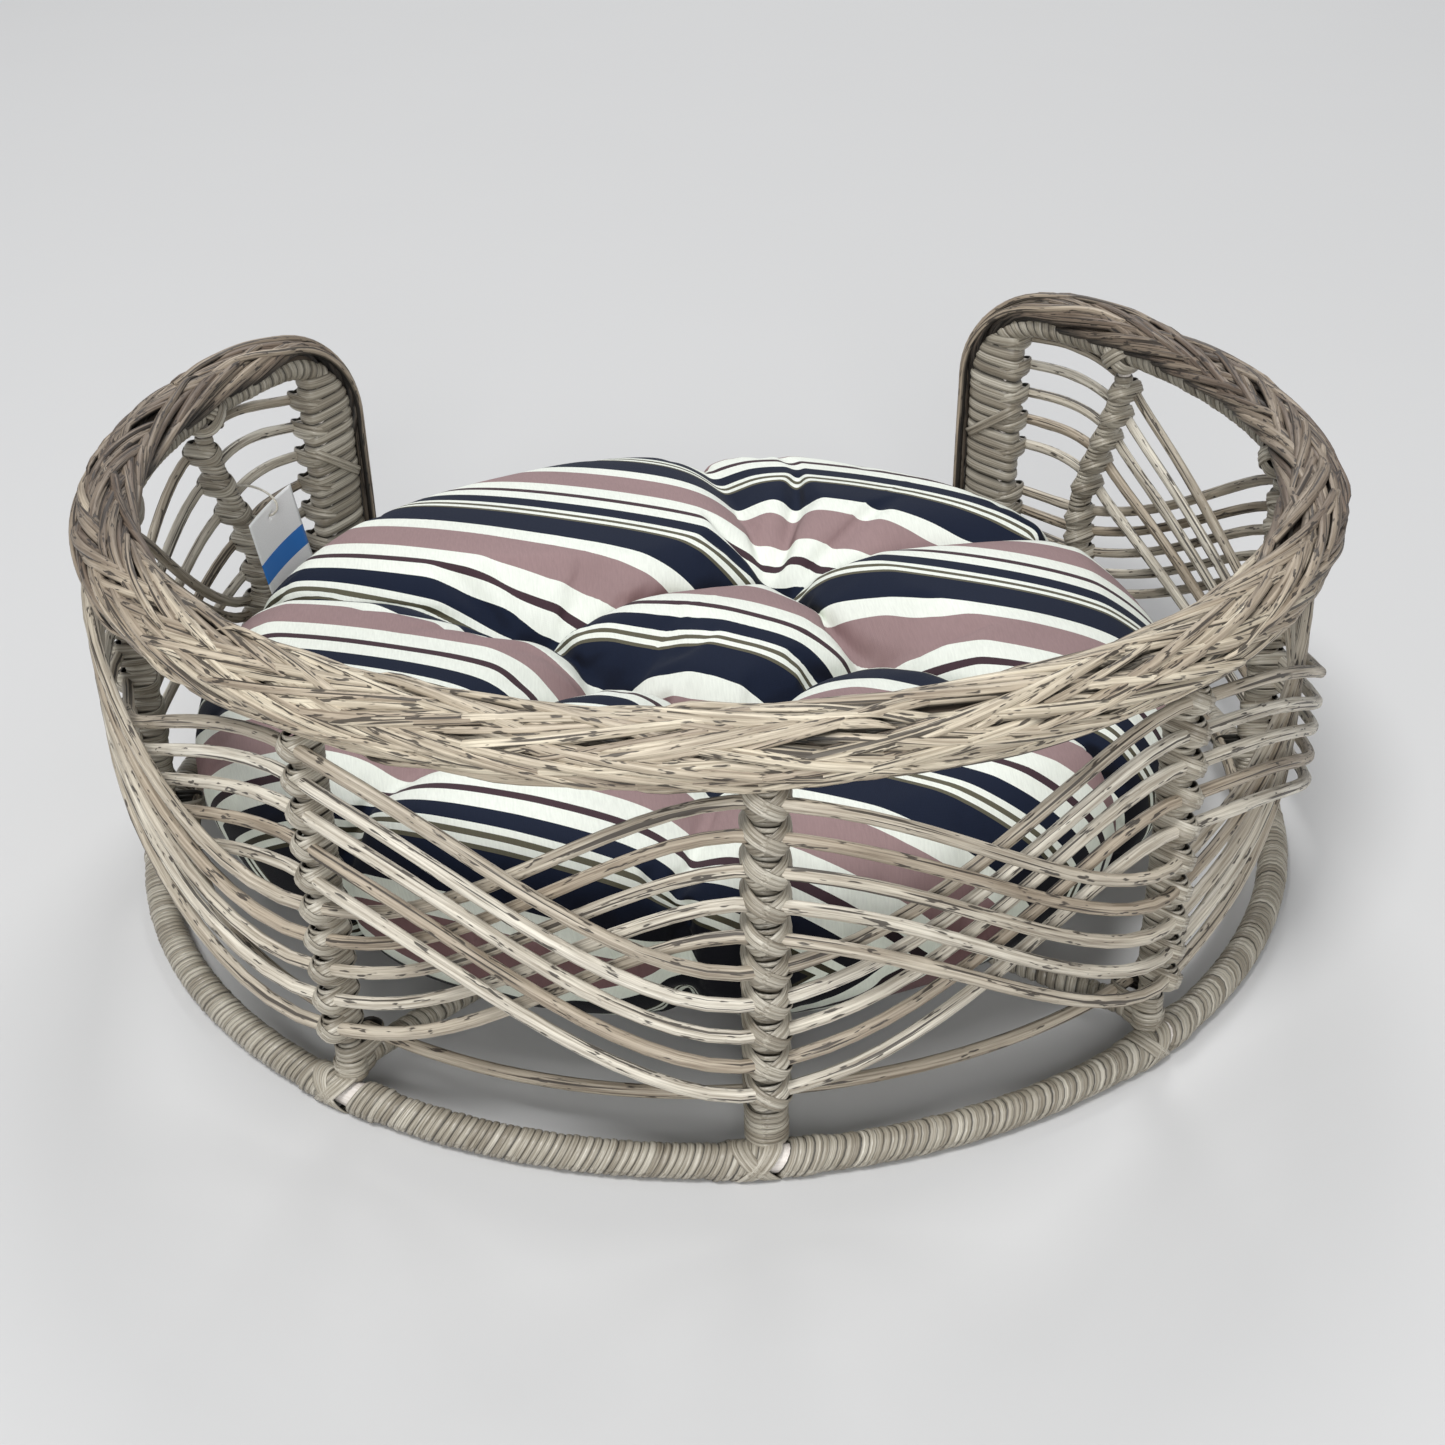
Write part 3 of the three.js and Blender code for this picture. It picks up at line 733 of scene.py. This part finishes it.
def plait_tails():
    """The strands that run on over each bend and down the entrance side of the pillar."""
    for name, flip in (("left", False), ("right", True)):
        pile = Pile()
        for i, v in enumerate((0.1, 0.36, 0.63, 0.9)):
            t = np.linspace(0, 1, 60)
            s = 4 + t * (LEG + BEND + 70 + 25 * (i % 2))
            sway = 0.05 * np.sin(t * 5 + i * 1.7)
            spread = smooth(s, LEG + BEND * 0.5, LEG + BEND + 60)
            across = v + sway * (1 - spread)
            lift = 0.6 * (i % 2) + 0.8 * np.sin(t * 7 + i) - 2.5 * smooth(t, 0.9, 1.0)
            place = HOOP_LENGTH - s if flip else s
            path, normals = plait_place(place, 0.5 + (across - 0.5) * (1 - 0.45 * spread), lift - 0.6)
            size = 1 - 0.35 * smooth(-t, -0.06, 0)
            strand(pile, path, normals, 3.1 * size, 2.8 * size, 0.5 + 0.1 * i, sides=10, tucked=True)
        under_tail(pile, flip)
        pile.make(f"plait_tail_{name}", "willow_plait", f"border_tail_{name}")


def under_tail(pile, flip):
    """Two more strands under the tail, which fill it out."""
    for v in (0.3, 0.7):
        t = np.linspace(0, 1, 40)
        s = 6 + t * (LEG + BEND)
        place = HOOP_LENGTH - s if flip else s
        path, normals = plait_place(place, np.full_like(t, v), np.full_like(t, -3.2))
        # marked less open, so they are painted in shade under the tail
        strand(pile, path, normals, 3.2, 2.6, 0.7, crown=0.4)


# ---- floor of the basket ----


def basket_floor():
    angles = np.linspace(0, 360, 160, endpoint=False)
    path = wall(angles, FLOOR_HOOP_R, FLOOR_HOOP_Z + 0.8 * np.sin(np.radians(angles) * 5))
    lone_strand("floor_hoop_bark", "willow_rod", "floor_hoop", path, outward(angles), ROD, 0.8,
                closed=True, sides=12)

    ties = Pile()
    for post, angle in enumerate(POST_ANGLES):
        radius, tube = post_size(post)
        near = FLOOR_HOOP_R - ROD - 0.8
        far = radius + tube + 1.2
        for z in (-2.6, 0.6, 3.6):
            centre = wall(angle, (near + far) / 2, FLOOR_HOOP_Z + z)
            band(ties, centre, outward(angle), sideways(angle), (far - near) / 2, tube + 1.4)
    ties.make("floor_hoop_ties", "rattan_peel")

    inside = SLIM_POST_R - SLIM_POST_TUBE
    for i, (start, end) in enumerate(STRETCHER_ENDS):
        low = wall(start, inside, STRETCHER_Z)
        high = wall(end, inside, STRETCHER_Z)
        bow = (STRETCHER_TUBE + 0.2) * (-1 if i == 0 else 1)
        length = float(np.linalg.norm(high - low))
        ahead = (high - low) / length
        aside = np.cross(ahead, UP)

        def path_at(s, low=low, ahead=ahead, aside=aside, bow=bow, length=length):
            z = bow * np.sin(math.pi * s / length) ** 2
            return low + ahead * s[..., None] + UP * z[..., None], UP, aside

        pile = Pile()
        skin = round_skin(path_at, STRETCHER_TUBE - 0.1)
        winding(pile, skin, length, STRETCHER_PITCH, lean=1.6, sides=12)
        for angle in (start, end):
            for z in (-3.4, 0, 3.4):
                centre = wall(angle, SLIM_POST_R - 3.5, STRETCHER_Z + z)
                reach, width = SLIM_POST_TUBE + 5.2, SLIM_POST_TUBE + 1.6
                band(pile, centre, outward(angle), sideways(angle), reach, width)
        pile.make(f"stretcher_winding_{i + 1}", "rattan_peel", f"stretcher_{i + 1}")


# ---- cushion ----

# The troughs between the tufts, by the numbers of their two ties, and those from a tie out over the side,
# with the angle from +X at which they leave.
VALLEYS = [(0, 1), (1, 2), (2, 3), (3, 4), (4, 0)]
OUTER_VALLEYS = [(0, 84), (1, 160), (2, 222), (3, 262), (4, 318), (0, 20)]


def plan_place(angle, distance):
    """A place in plan by its angle from +X and its distance from the cushion's middle."""
    return distance * math.cos(math.radians(angle)), distance * math.sin(math.radians(angle))


def distance_to_line(x, y, start, end):
    """Distance to a straight stretch, and how far along it the nearest point lies (0 to 1)."""
    px, py = x - start[0], y - start[1]
    dx, dy = end[0] - start[0], end[1] - start[1]
    t = np.clip((px * dx + py * dy) / (dx * dx + dy * dy), 0, 1)
    return np.hypot(px - t * dx, py - t * dy), t


def troughs(x, y):
    """How deep the quilting pulls the cushion in at a point of its plan: 0 nowhere, 1 at a tuft."""
    ties = [plan_place(*tie) for tie in TIES]
    depth = np.zeros_like(x)
    for a, b in VALLEYS:
        d, t = distance_to_line(x, y, ties[a], ties[b])
        strength = 0.52 + 0.22 * np.abs(2 * t - 1)
        depth = np.maximum(depth, strength / (1 + (d / 15) ** 2))
    for a, angle in OUTER_VALLEYS:
        d, t = distance_to_line(x, y, ties[a], plan_place(angle, CUSHION_R))
        strength = 0.68 - 0.24 * t
        depth = np.maximum(depth, strength / (1 + (d / (13 + 8 * t)) ** 2))
    for tx, ty in ties:
        depth = np.maximum(depth, 1.0 / (1 + (np.hypot(x - tx, y - ty) / 17) ** 2))
    return depth


def disc_grid(steps):
    """A square grid bent into a disc: plan positions in the unit circle, evenly spread."""
    u = np.linspace(-1, 1, steps)
    a, b = np.meshgrid(u, u, indexing="ij")
    r = np.where(np.abs(a) > np.abs(b), a, b)
    ratio = np.where(np.abs(a) > np.abs(b), b / np.where(a == 0, 1, a), a / np.where(b == 0, 1, b))
    phi = np.where(np.abs(a) > np.abs(b), math.pi / 4 * ratio, math.pi / 2 - math.pi / 4 * ratio)
    return r * np.cos(phi), r * np.sin(phi)


def cushion():
    steps = 135
    u, v = disc_grid(steps)
    rho = np.clip(np.hypot(u, v), 0, 1)
    angle = np.arctan2(v, u)

    # The cushion's outline in section: an oval whose ends are rounder than a circle's.
    middle = (CUSHION_TOP + CUSHION_BOTTOM) / 2 - 4
    lean = np.linspace(math.pi / 2, 0, 400)
    outline_r = np.cos(lean) ** 0.42
    outline_z = np.sin(lean) ** 0.62
    section = np.stack([outline_r * CUSHION_R * 0.985, outline_z * (CUSHION_TOP - middle)], axis=1)
    run = along_path(section)
    cut_radius = run[-1]

    def sheet(sign, height):
        r = np.interp(rho * cut_radius, run, section[:, 0])
        z = np.interp(rho * cut_radius, run, section[:, 1]) / (CUSHION_TOP - middle) * height
        x, y = r * np.cos(angle), r * np.sin(angle)
        pull = troughs(x, y)
        edge = smooth(rho, 0.8, 1.0)
        z = z * (1 - 0.74 * pull * (1 - 0.7 * edge))
        narrower = 1 - 0.045 * pull * edge
        return np.stack([x * narrower, y * narrower, middle + sign * z], axis=-1), pull

    top, pull = sheet(1, CUSHION_TOP - middle)
    bottom, _ = sheet(-1, middle - CUSHION_BOTTOM)
    index = np.arange(steps * steps).reshape(steps, steps)
    rim = np.ones((steps, steps), bool)
    rim[1:-1, 1:-1] = False
    under = np.where(rim, index, index + steps * steps)
    points = np.concatenate([top.reshape(-1, 3), bottom.reshape(-1, 3)])
    faces = []
    for grid, flip in ((index, False), (under, True)):
        corners = (grid[:-1, :-1], grid[1:, :-1], grid[1:, 1:], grid[:-1, 1:])
        quads = np.stack(corners, axis=-1).reshape(-1, 4)
        faces.append(quads[:, ::-1] if flip else quads)
    cut = np.stack([u * cut_radius, v * cut_radius], axis=-1).reshape(-1, 2)
    cloth = np.concatenate([np.c_[cut, np.zeros(len(cut))], np.c_[cut, np.ones(len(cut)) * 1000]])
    held = np.concatenate([np.clip((pull.ravel() - 0.62) / 0.2, 0, 1)] * 2)

    used = np.unique(np.concatenate(faces))
    number = -np.ones(len(points), int)
    number[used] = np.arange(len(used))
    mesh = bpy.data.meshes.new("cushion_cover")
    mesh.from_pydata(((points[used] + [CUSHION_X, 0, 0]) * MM).tolist(), [],
                     number[np.concatenate(faces)].tolist())
    mesh.attributes.new("cloth", "FLOAT_VECTOR", "POINT").data.foreach_set(
        "vector", (cloth[used] * MM).astype(np.float32).ravel())
    mesh.materials.append(MATERIALS["striped_print"][0])
    mesh.shade_smooth()
    obj = new_object("cushion_cover", mesh)
    inflate(obj, held[used])
    finer = obj.modifiers.new("finer", "SUBSURF")
    finer.levels = finer.render_levels = 1
    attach(obj, "cushion")
    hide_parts("cushion_cover_top", "cushion_cover_bottom", "cushion_filling",
                *[f"tuft_tie_{i + 1}" for i in range(len(TIES))])


COVER = dict(
    quality=6, mass=0.25, tension_stiffness=18, compression_stiffness=18, shear_stiffness=6,
    bending_stiffness=0.12, use_pressure=True, uniform_pressure_force=5.0, shrink_min=-0.05,
    vertex_group_mass="held", pin_stiffness=3.0,
)
BLOWN_UP = 24  # the frame at which the cover is taken
MOST_MOVE = 16.0  # how far a point of it may move
ROOM = 316.0  # how far from the middle it may reach
EASE = 6.0  # it is eased in over this distance


def inflate(obj, held):
    """Blows the cover up between its tufts as cloth, then keeps it inside the room it has."""
    mesh = obj.data
    n = len(mesh.vertices)
    before = np.empty(n * 3, np.float32)
    mesh.vertices.foreach_get("co", before)
    before = before.reshape(-1, 3)
    after = before.copy()
    group = obj.vertex_groups.new(name="held")
    for weight in (0.25, 0.5, 0.75, 1.0):
        chosen = np.nonzero(np.abs(held - weight) <= 0.125)[0]
        group.add(chosen.tolist(), weight, "REPLACE")
    cloth = obj.modifiers.new("cloth", "CLOTH")
    for name, value in COVER.items():
        setattr(cloth.settings, name, value)
    cloth.settings.effector_weights.gravity = 0
    cloth.collision_settings.use_collision = False
    scene = bpy.context.scene
    cloth.point_cache.frame_start = 1
    cloth.point_cache.frame_end = BLOWN_UP
    for number in range(1, BLOWN_UP + 1):
        scene.frame_set(number)
    evaluated = obj.evaluated_get(bpy.context.evaluated_depsgraph_get())
    moved = np.empty(n * 3, np.float32)
    evaluated.data.vertices.foreach_get("co", moved)
    after = moved.reshape(-1, 3).copy()
    obj.modifiers.remove(cloth)
    obj.vertex_groups.remove(group)
    scene.frame_set(1)
    move = after - before
    length = np.linalg.norm(move, axis=1, keepdims=True)
    after = before + move * np.minimum(1, MOST_MOVE * MM / np.maximum(length, 1e-9))
    floor = (CUSHION_BOTTOM + 0.6) * MM
    after[:, 2] = np.where(after[:, 2] < floor, floor + (after[:, 2] - floor) * 0.06, after[:, 2])
    centre = np.array([CUSHION_X * MM, 0])
    plan = after[:, :2] - centre
    reach = np.linalg.norm(plan, axis=1)
    ease = EASE * MM
    soft = ROOM * MM - ease
    limited = np.where(reach > soft, soft + ease * np.tanh((reach - soft) / ease), reach)
    after[:, :2] = centre + plan * (limited / np.maximum(reach, 1e-9))[:, None]
    mesh.vertices.foreach_set("co", after.astype(np.float32).ravel())
    mesh.update()


# ---- hang tag ----


def hang_card():
    """The card: one bent sheet with a hole in it, thickened."""
    columns, rows = 21, 25
    x = np.linspace(-TAG_WIDTH / 2, TAG_WIDTH / 2, columns)
    y = np.linspace(TAG_HOLE_DROP, TAG_HOLE_DROP - TAG_HEIGHT, rows)
    xx, yy = np.meshgrid(x, y)
    turn = math.radians(TAG_TURN)
    across = xx * math.cos(turn) - yy * math.sin(turn)
    upward = xx * math.sin(turn) + yy * math.cos(turn)
    bend = -1.8 * (xx / (TAG_WIDTH / 2)) ** 2 - 1.5 * (yy / TAG_HEIGHT) ** 2
    points = wall(TAG_ANGLE, TAG_R, TAG_HOLE_Z) + sideways(TAG_ANGLE) * across[..., None]
    points = points + outward(TAG_ANGLE) * bend[..., None] + UP * upward[..., None]
    kept = np.ones((rows - 1, columns - 1), bool)
    hole_row = 3
    kept[hole_row, columns // 2 - 1: columns // 2 + 1] = False
    quads = grid_quads(rows, columns, ring_columns=False).reshape(rows - 1, columns - 1, 4)[kept]
    pile = Pile()
    flat = np.stack([xx, yy, np.zeros_like(xx)], axis=-1).reshape(-1, 3)
    pile.add(points.reshape(-1, 3), quads, flat, 0.5)
    tag = pile.make("tag_card_print", "tag_card", "tag_card", body="tag")
    thick = tag.modifiers.new("thick", "SOLIDIFY")
    thick.thickness = 0.6 * MM
    thick.offset = 0


def hang_loop():
    """The string: it runs through the card's hole and round the rod behind it."""
    out = outward(TAG_ANGLE)
    t = np.arange(64) / 64 * CIRCLE
    through = math.sqrt(0.5)
    centre = wall(TAG_ANGLE, TAG_R + LOOP_ACROSS * through, TAG_HOLE_Z + LOOP_HIGH * through)
    path = centre + np.cos(t)[:, None] * LOOP_ACROSS * out + np.sin(t)[:, None] * LOOP_HIGH * UP
    normals = unit((np.cos(t) / LOOP_ACROSS)[:, None] * out + (np.sin(t) / LOOP_HIGH)[:, None] * UP)
    lone_strand("tag_loop_string", "string", "tag_loop", path, normals, 0.8, 0.5, closed=True)


# ---- materials ----


class Stuff:
    """A new material and short ways to add and join its nodes."""

    def __init__(self, name):
        self.material = bpy.data.materials.new(name)
        self.material.use_nodes = True
        self.tree = self.material.node_tree
        self.shader = self.tree.nodes["Principled BSDF"]

    def node(self, kind, inputs=None, **settings):
        made = self.tree.nodes.new("ShaderNode" + kind)
        for key, value in settings.items():
            setattr(made, key, value)
        for key, value in (inputs or {}).items():
            self.set(made.inputs[key], value)
        return made

    def set(self, socket, value):
        if isinstance(value, bpy.types.NodeSocket):
            self.tree.links.new(value, socket)
        else:
            socket.default_value = value

    def attribute(self, name, output="Fac"):
        return self.node("Attribute", attribute_name=name).outputs[output]

    def noise(self, vector, scale, detail=3.0, rough=0.6):
        inputs = {"Vector": vector, "Scale": scale, "Detail": detail, "Roughness": rough}
        return self.node("TexNoise", inputs).outputs["Fac"]

    def stretch(self, vector, x, y, z):
        return self.node("VectorMath", {0: vector, 1: (x, y, z)}, operation="MULTIPLY").outputs[0]

    def streaks(self, along, across, detail=3.0, rough=0.6):
        """Noise on a strand, with its own scale along it and across it."""
        grain = self.attribute("grain", "Vector")
        return self.noise(self.stretch(grain, along, across, across), 1.0, detail, rough)

    def maths(self, operation, first, second=0.0, third=0.0):
        return self.node("Math", {0: first, 1: second, 2: third}, operation=operation).outputs[0]

    def ramp(self, factor, stops, constant=False):
        made = self.node("ValToRGB", {"Fac": factor})
        ramp = made.color_ramp
        ramp.interpolation = "CONSTANT" if constant else "LINEAR"
        while len(ramp.elements) < len(stops):
            ramp.elements.new(1.0)
        for element, (at, colour) in zip(ramp.elements, stops):
            element.position = at
            element.color = (*colour, 1.0)
        return made.outputs["Color"]

    def mix(self, factor, first, second, blend="MIX"):
        made = self.node("Mix", data_type="RGBA", blend_type=blend)
        self.set(made.inputs["Factor"], factor)
        for socket, value in ((made.inputs[6], first), (made.inputs[7], second)):
            self.set(socket, (*value, 1.0) if isinstance(value, tuple) else value)
        return made.outputs[2]

    def shades(self, share, patch, stops):
        """A ramp of colours by the strand's own tone, which has the share given, and by patches on it."""
        tone = self.maths("MULTIPLY", self.attribute("tone"), share)
        return self.ramp(self.maths("ADD", tone, self.maths("MULTIPLY", patch, 1 - share)), stops)

    # Painted shade: darkens the colour where a strand is marked as lying in a gap.
    def paint_gap_shade(self, colour, stops):
        return self.mix(1.0, colour, self.ramp(self.attribute("open"), stops), "MULTIPLY")

    def between(self, value, low, high, to_low=0.0, to_high=1.0):
        inputs = {"Value": value, "From Min": low, "From Max": high, "To Min": to_low, "To Max": to_high}
        return self.node("MapRange", inputs).outputs["Result"]

    def finish(self, colour, roughness, height=None, strength=0.5, distance=0.0005, **sockets):
        self.set(self.shader.inputs["Base Color"], colour)
        self.set(self.shader.inputs["Roughness"], roughness)
        for name, value in sockets.items():
            self.shader.inputs[name.replace("_", " ")].default_value = value
        if height is not None:
            bump = self.node("Bump", {"Height": height, "Strength": strength, "Distance": distance})
            self.set(self.shader.inputs["Normal"], bump.outputs["Normal"])
        return self.material


def grey(level):
    return (level, level, level)


def willow(name, pale, straw, brown, dashes):
    """Willow with its bark: long streaks, dark cracks and dashes, each strand's own shade, and painted
    shade in the gaps between strands.
    """
    m = Stuff(name)
    streak = m.streaks(16, 700, 4.0, 0.65)
    base = m.shades(0.6, m.streaks(22, 60, 2.0), ((0.12, pale), (0.42, straw), (0.8, brown)))
    dark = m.mix(m.between(streak, 0.36, 0.62), (0.22, 0.18, 0.14), grey(1.0))
    colour = m.mix(0.7, base, dark, "MULTIPLY")
    flecked = m.between(m.streaks(75, 420, 2.0), dashes, dashes + 0.04)
    cracked = m.between(m.streaks(9, 520, 1.0), dashes + 0.005, dashes + 0.035)
    marks = m.maths("MAXIMUM", flecked, cracked)
    colour = m.mix(m.maths("MULTIPLY", marks, 0.88), colour, (0.028, 0.021, 0.017))
    # painted shade in the gaps between strands
    colour = m.paint_gap_shade(colour, ((0.0, grey(0.03)), (0.5, grey(0.42)), (0.8, grey(1.0))))
    height = m.maths("ADD", streak, m.maths("MULTIPLY", marks, -0.8))
    roughness = m.between(streak, 0.3, 0.7, 0.62, 0.42)
    return m.finish(colour, roughness, height, 0.6, 0.0008)


def peel(pale, middle, brown):
    """Wound rattan peel: glossy strips with fine lines along them and painted shade in the gaps between."""
    m = Stuff("rattan_peel")
    lines = m.streaks(22, 1100, 3.0, 0.7)
    base = m.shades(0.5, m.streaks(30, 90, 2.0), ((0.15, pale), (0.5, middle), (0.85, brown)))
    dark = m.mix(m.between(lines, 0.35, 0.62), (0.26, 0.22, 0.17), grey(1.0))
    colour = m.mix(0.8, base, dark, "MULTIPLY")
    # painted shade in the gaps between turns
    colour = m.paint_gap_shade(colour, ((0.0, grey(0.05)), (0.6, grey(0.7)), (1.0, grey(1.0))))
    roughness = m.between(lines, 0.3, 0.7, 0.5, 0.3)
    return m.finish(colour, roughness, lines, 0.45, 0.0004)


def fibre(name, lines_at, dark, pale, roughness, strength, distance, detail=3.0):
    """Something plain with fine lines along it, in two shades."""
    m = Stuff(name)
    lines = m.streaks(*lines_at, detail)
    colour = m.ramp(lines, ((0.3, dark), (0.7, pale)))
    return m.finish(colour, roughness, lines, strength, distance)


CREAM = (0.80, 0.83, 0.76)
MAUVE = (0.30, 0.205, 0.205)
NAVY = (0.004, 0.009, 0.026)
PLUM = (0.052, 0.028, 0.036)
OLIVE = (0.105, 0.098, 0.066)

# The print's stripes in order, with each one's width in millimetres.
STRIPES = (
    (MAUVE, 14), (CREAM, 13), (NAVY, 24), (OLIVE, 2), (CREAM, 4), (OLIVE, 3.5), (CREAM, 4), (NAVY, 12),
    (CREAM, 11), (PLUM, 5.5), (CREAM, 14), (MAUVE, 14),
)
PRINT_TURN = -29.0  # the stripes' direction, in degrees from +X
PRINT_START = 28.0  # where the middle of a mauve stripe passes the middle of the bed, in millimetres


def striped_print():
    m = Stuff("striped_print")
    cloth = m.attribute("cloth", "Vector")
    turn = math.radians(PRINT_TURN)
    across = m.node("VectorMath", {0: cloth, 1: (-math.sin(turn), math.cos(turn), 0)},
                    operation="DOT_PRODUCT").outputs["Value"]
    repeat = sum(width for _, width in STRIPES)
    shift = -PRINT_START + CUSHION_X * -math.sin(turn)
    place = m.maths("FRACT", m.maths("MULTIPLY_ADD", across, 1 / (repeat * MM), shift / repeat + 8))
    stops = []
    at = 0.0
    for colour, width in STRIPES:
        stops.append((at / repeat, colour))
        at += width
    printed = m.ramp(place, stops, constant=True)
    slub = m.noise(m.stretch(cloth, 900, 120, 1), 1.0, 2.0)
    faded = m.noise(m.stretch(cloth, 9, 9, 1), 1.0, 3.0)
    light = m.maths("ADD", m.between(slub, 0.3, 0.7, -0.05, 0.05), m.between(faded, 0.3, 0.7, 0.92, 1.04))
    # Painted shade: the print is darkened where the cloth faces sideways, on the cushion's sides under the
    # rim.
    upright = m.node("SeparateXYZ", {"Vector": m.node("NewGeometry").outputs["Normal"]}).outputs["Z"]
    side_shade_gamma = m.between(upright, 0.15, 0.7, 1.55, 1.0)
    side_shaded = m.node("Gamma", {"Color": printed, "Gamma": side_shade_gamma})
    bright = m.node("HueSaturation", {"Color": side_shaded.outputs["Color"], "Value": light})
    wave = {"Vector": cloth, "Scale": 360.0, "Distortion": 0.6, "Detail": 1.0}
    threads = [m.node("TexWave", wave, bands_direction=axis).outputs["Fac"] for axis in "XY"]
    height = m.maths("ADD", m.maths("MAXIMUM", *threads), m.maths("MULTIPLY", slub, 0.5))
    return m.finish(bright.outputs["Color"], 0.85, height, 0.25, 0.0003, Sheen_Weight=0.04,
                    Sheen_Roughness=0.4, Specular_IOR_Level=0.25)


def card():
    """A plain white hang tag with one band of blue across it."""
    m = Stuff("tag_card")
    y = m.node("SeparateXYZ", {"Vector": m.attribute("grain", "Vector")}).outputs["Y"]
    inside = m.maths("MULTIPLY", m.maths("GREATER_THAN", y, -40 * MM), m.maths("LESS_THAN", y, -24 * MM))
    fuzz = m.streaks(900, 900)
    paper = m.ramp(fuzz, ((0.3, (0.88, 0.89, 0.89)), (0.7, (0.95, 0.96, 0.96))))
    colour = m.mix(inside, paper, (0.03, 0.2, 0.62))
    return m.finish(colour, 0.45, fuzz, 0.1, 0.0001)


# Every slot's materials. A plait has a second one for what lies under its strands: near-black, painted
# shade.
MATERIALS = {
    "willow_rod": [willow("willow_rod", (0.80, 0.76, 0.66), (0.63, 0.58, 0.48), (0.45, 0.38, 0.29), 0.615)],
    "willow_plait": [
        willow("willow_plait", (0.81, 0.73, 0.57), (0.50, 0.42, 0.32), (0.17, 0.125, 0.092), 0.592),
        fibre("plait_gap_shade", (20, 300), (0.03, 0.022, 0.016), (0.085, 0.062, 0.042), 0.8, 0.5, 0.001),
    ],
    "rattan_peel": [peel((0.62, 0.585, 0.50), (0.455, 0.42, 0.345), (0.285, 0.25, 0.195))],
    "rattan_pole": [
        fibre("bare_cane", (18, 900), (0.62, 0.56, 0.5), (0.82, 0.78, 0.74), 0.35, 0.2, 0.0003),
    ],
    "striped_print": [striped_print()],
    "tag_card": [card()],
    "string": [fibre("string", (600, 900), (0.5, 0.47, 0.4), (0.75, 0.72, 0.64), 0.8, 0.5, 0.0003, 2.0)],
}


# ---- camera, light and floor ----


def camera():
    data = bpy.data.cameras.new("camera")
    data.sensor_width = 36
    data.lens = 49.8
    obj = new_object("camera", data)
    place = Vector((-128.8, -1098.7, 681.8)) * MM
    aim = Vector((5.2, -0.6, 60.3)) * MM
    turn = (aim - place).to_track_quat("-Z", "Y").to_matrix().to_4x4()
    roll = Matrix.Rotation(math.radians(-1.04), 4, "Z")
    obj.matrix_world = Matrix.Translation(place) @ turn @ roll
    data.clip_end = 50
    bpy.context.scene.camera = obj


def lamp(name, place, aim, size, watts):
    data = bpy.data.lights.new(name, "AREA")
    data.shape = "DISK"
    data.size = size
    data.energy = watts
    obj = new_object(name, data)
    obj.location = place
    obj.rotation_euler = (Vector(aim) - Vector(place)).to_track_quat("-Z", "Y").to_euler()


def studio():
    scene = bpy.context.scene
    scene.view_settings.view_transform = "Standard"
    world = bpy.data.worlds.new("studio")
    world.use_nodes = True
    background = world.node_tree.nodes["Background"]
    background.inputs["Color"].default_value = (0.95, 0.97, 1.0, 1.0)
    background.inputs["Strength"].default_value = 0.36
    scene.world = world
    lamp("key", (-1.9, -2.6, 7.0), (0, 0, 0.1), 2.4, 350)
    lamp("front", (-0.4, -3.8, 1.7), (0, 0, 0.1), 1.5, 74)
    lamp("back", (1.0, 5.0, 5.0), (0, 0.6, 0.1), 2.5, 150)

    mesh = bpy.data.meshes.new("studio_floor")
    far = 12.0
    mesh.from_pydata([(-far, -far, 0), (far, -far, 0), (far, far, 0), (-far, far, 0)], [], [(0, 1, 2, 3)])
    m = Stuff("studio_floor")
    spot = m.noise(m.node("NewGeometry").outputs["Position"], 3.0)
    colour = m.ramp(spot, ((0.0, grey(0.585)), (1.0, grey(0.595))))
    mesh.materials.append(m.finish(colour, 0.9))
    new_object("studio_floor", mesh)


camera()
studio()
base_ring()
posts()
wave_rods()
top_hoop()
pillars()
plait()
plait_tails()
basket_floor()
cushion()
hang_card()
hang_loop()
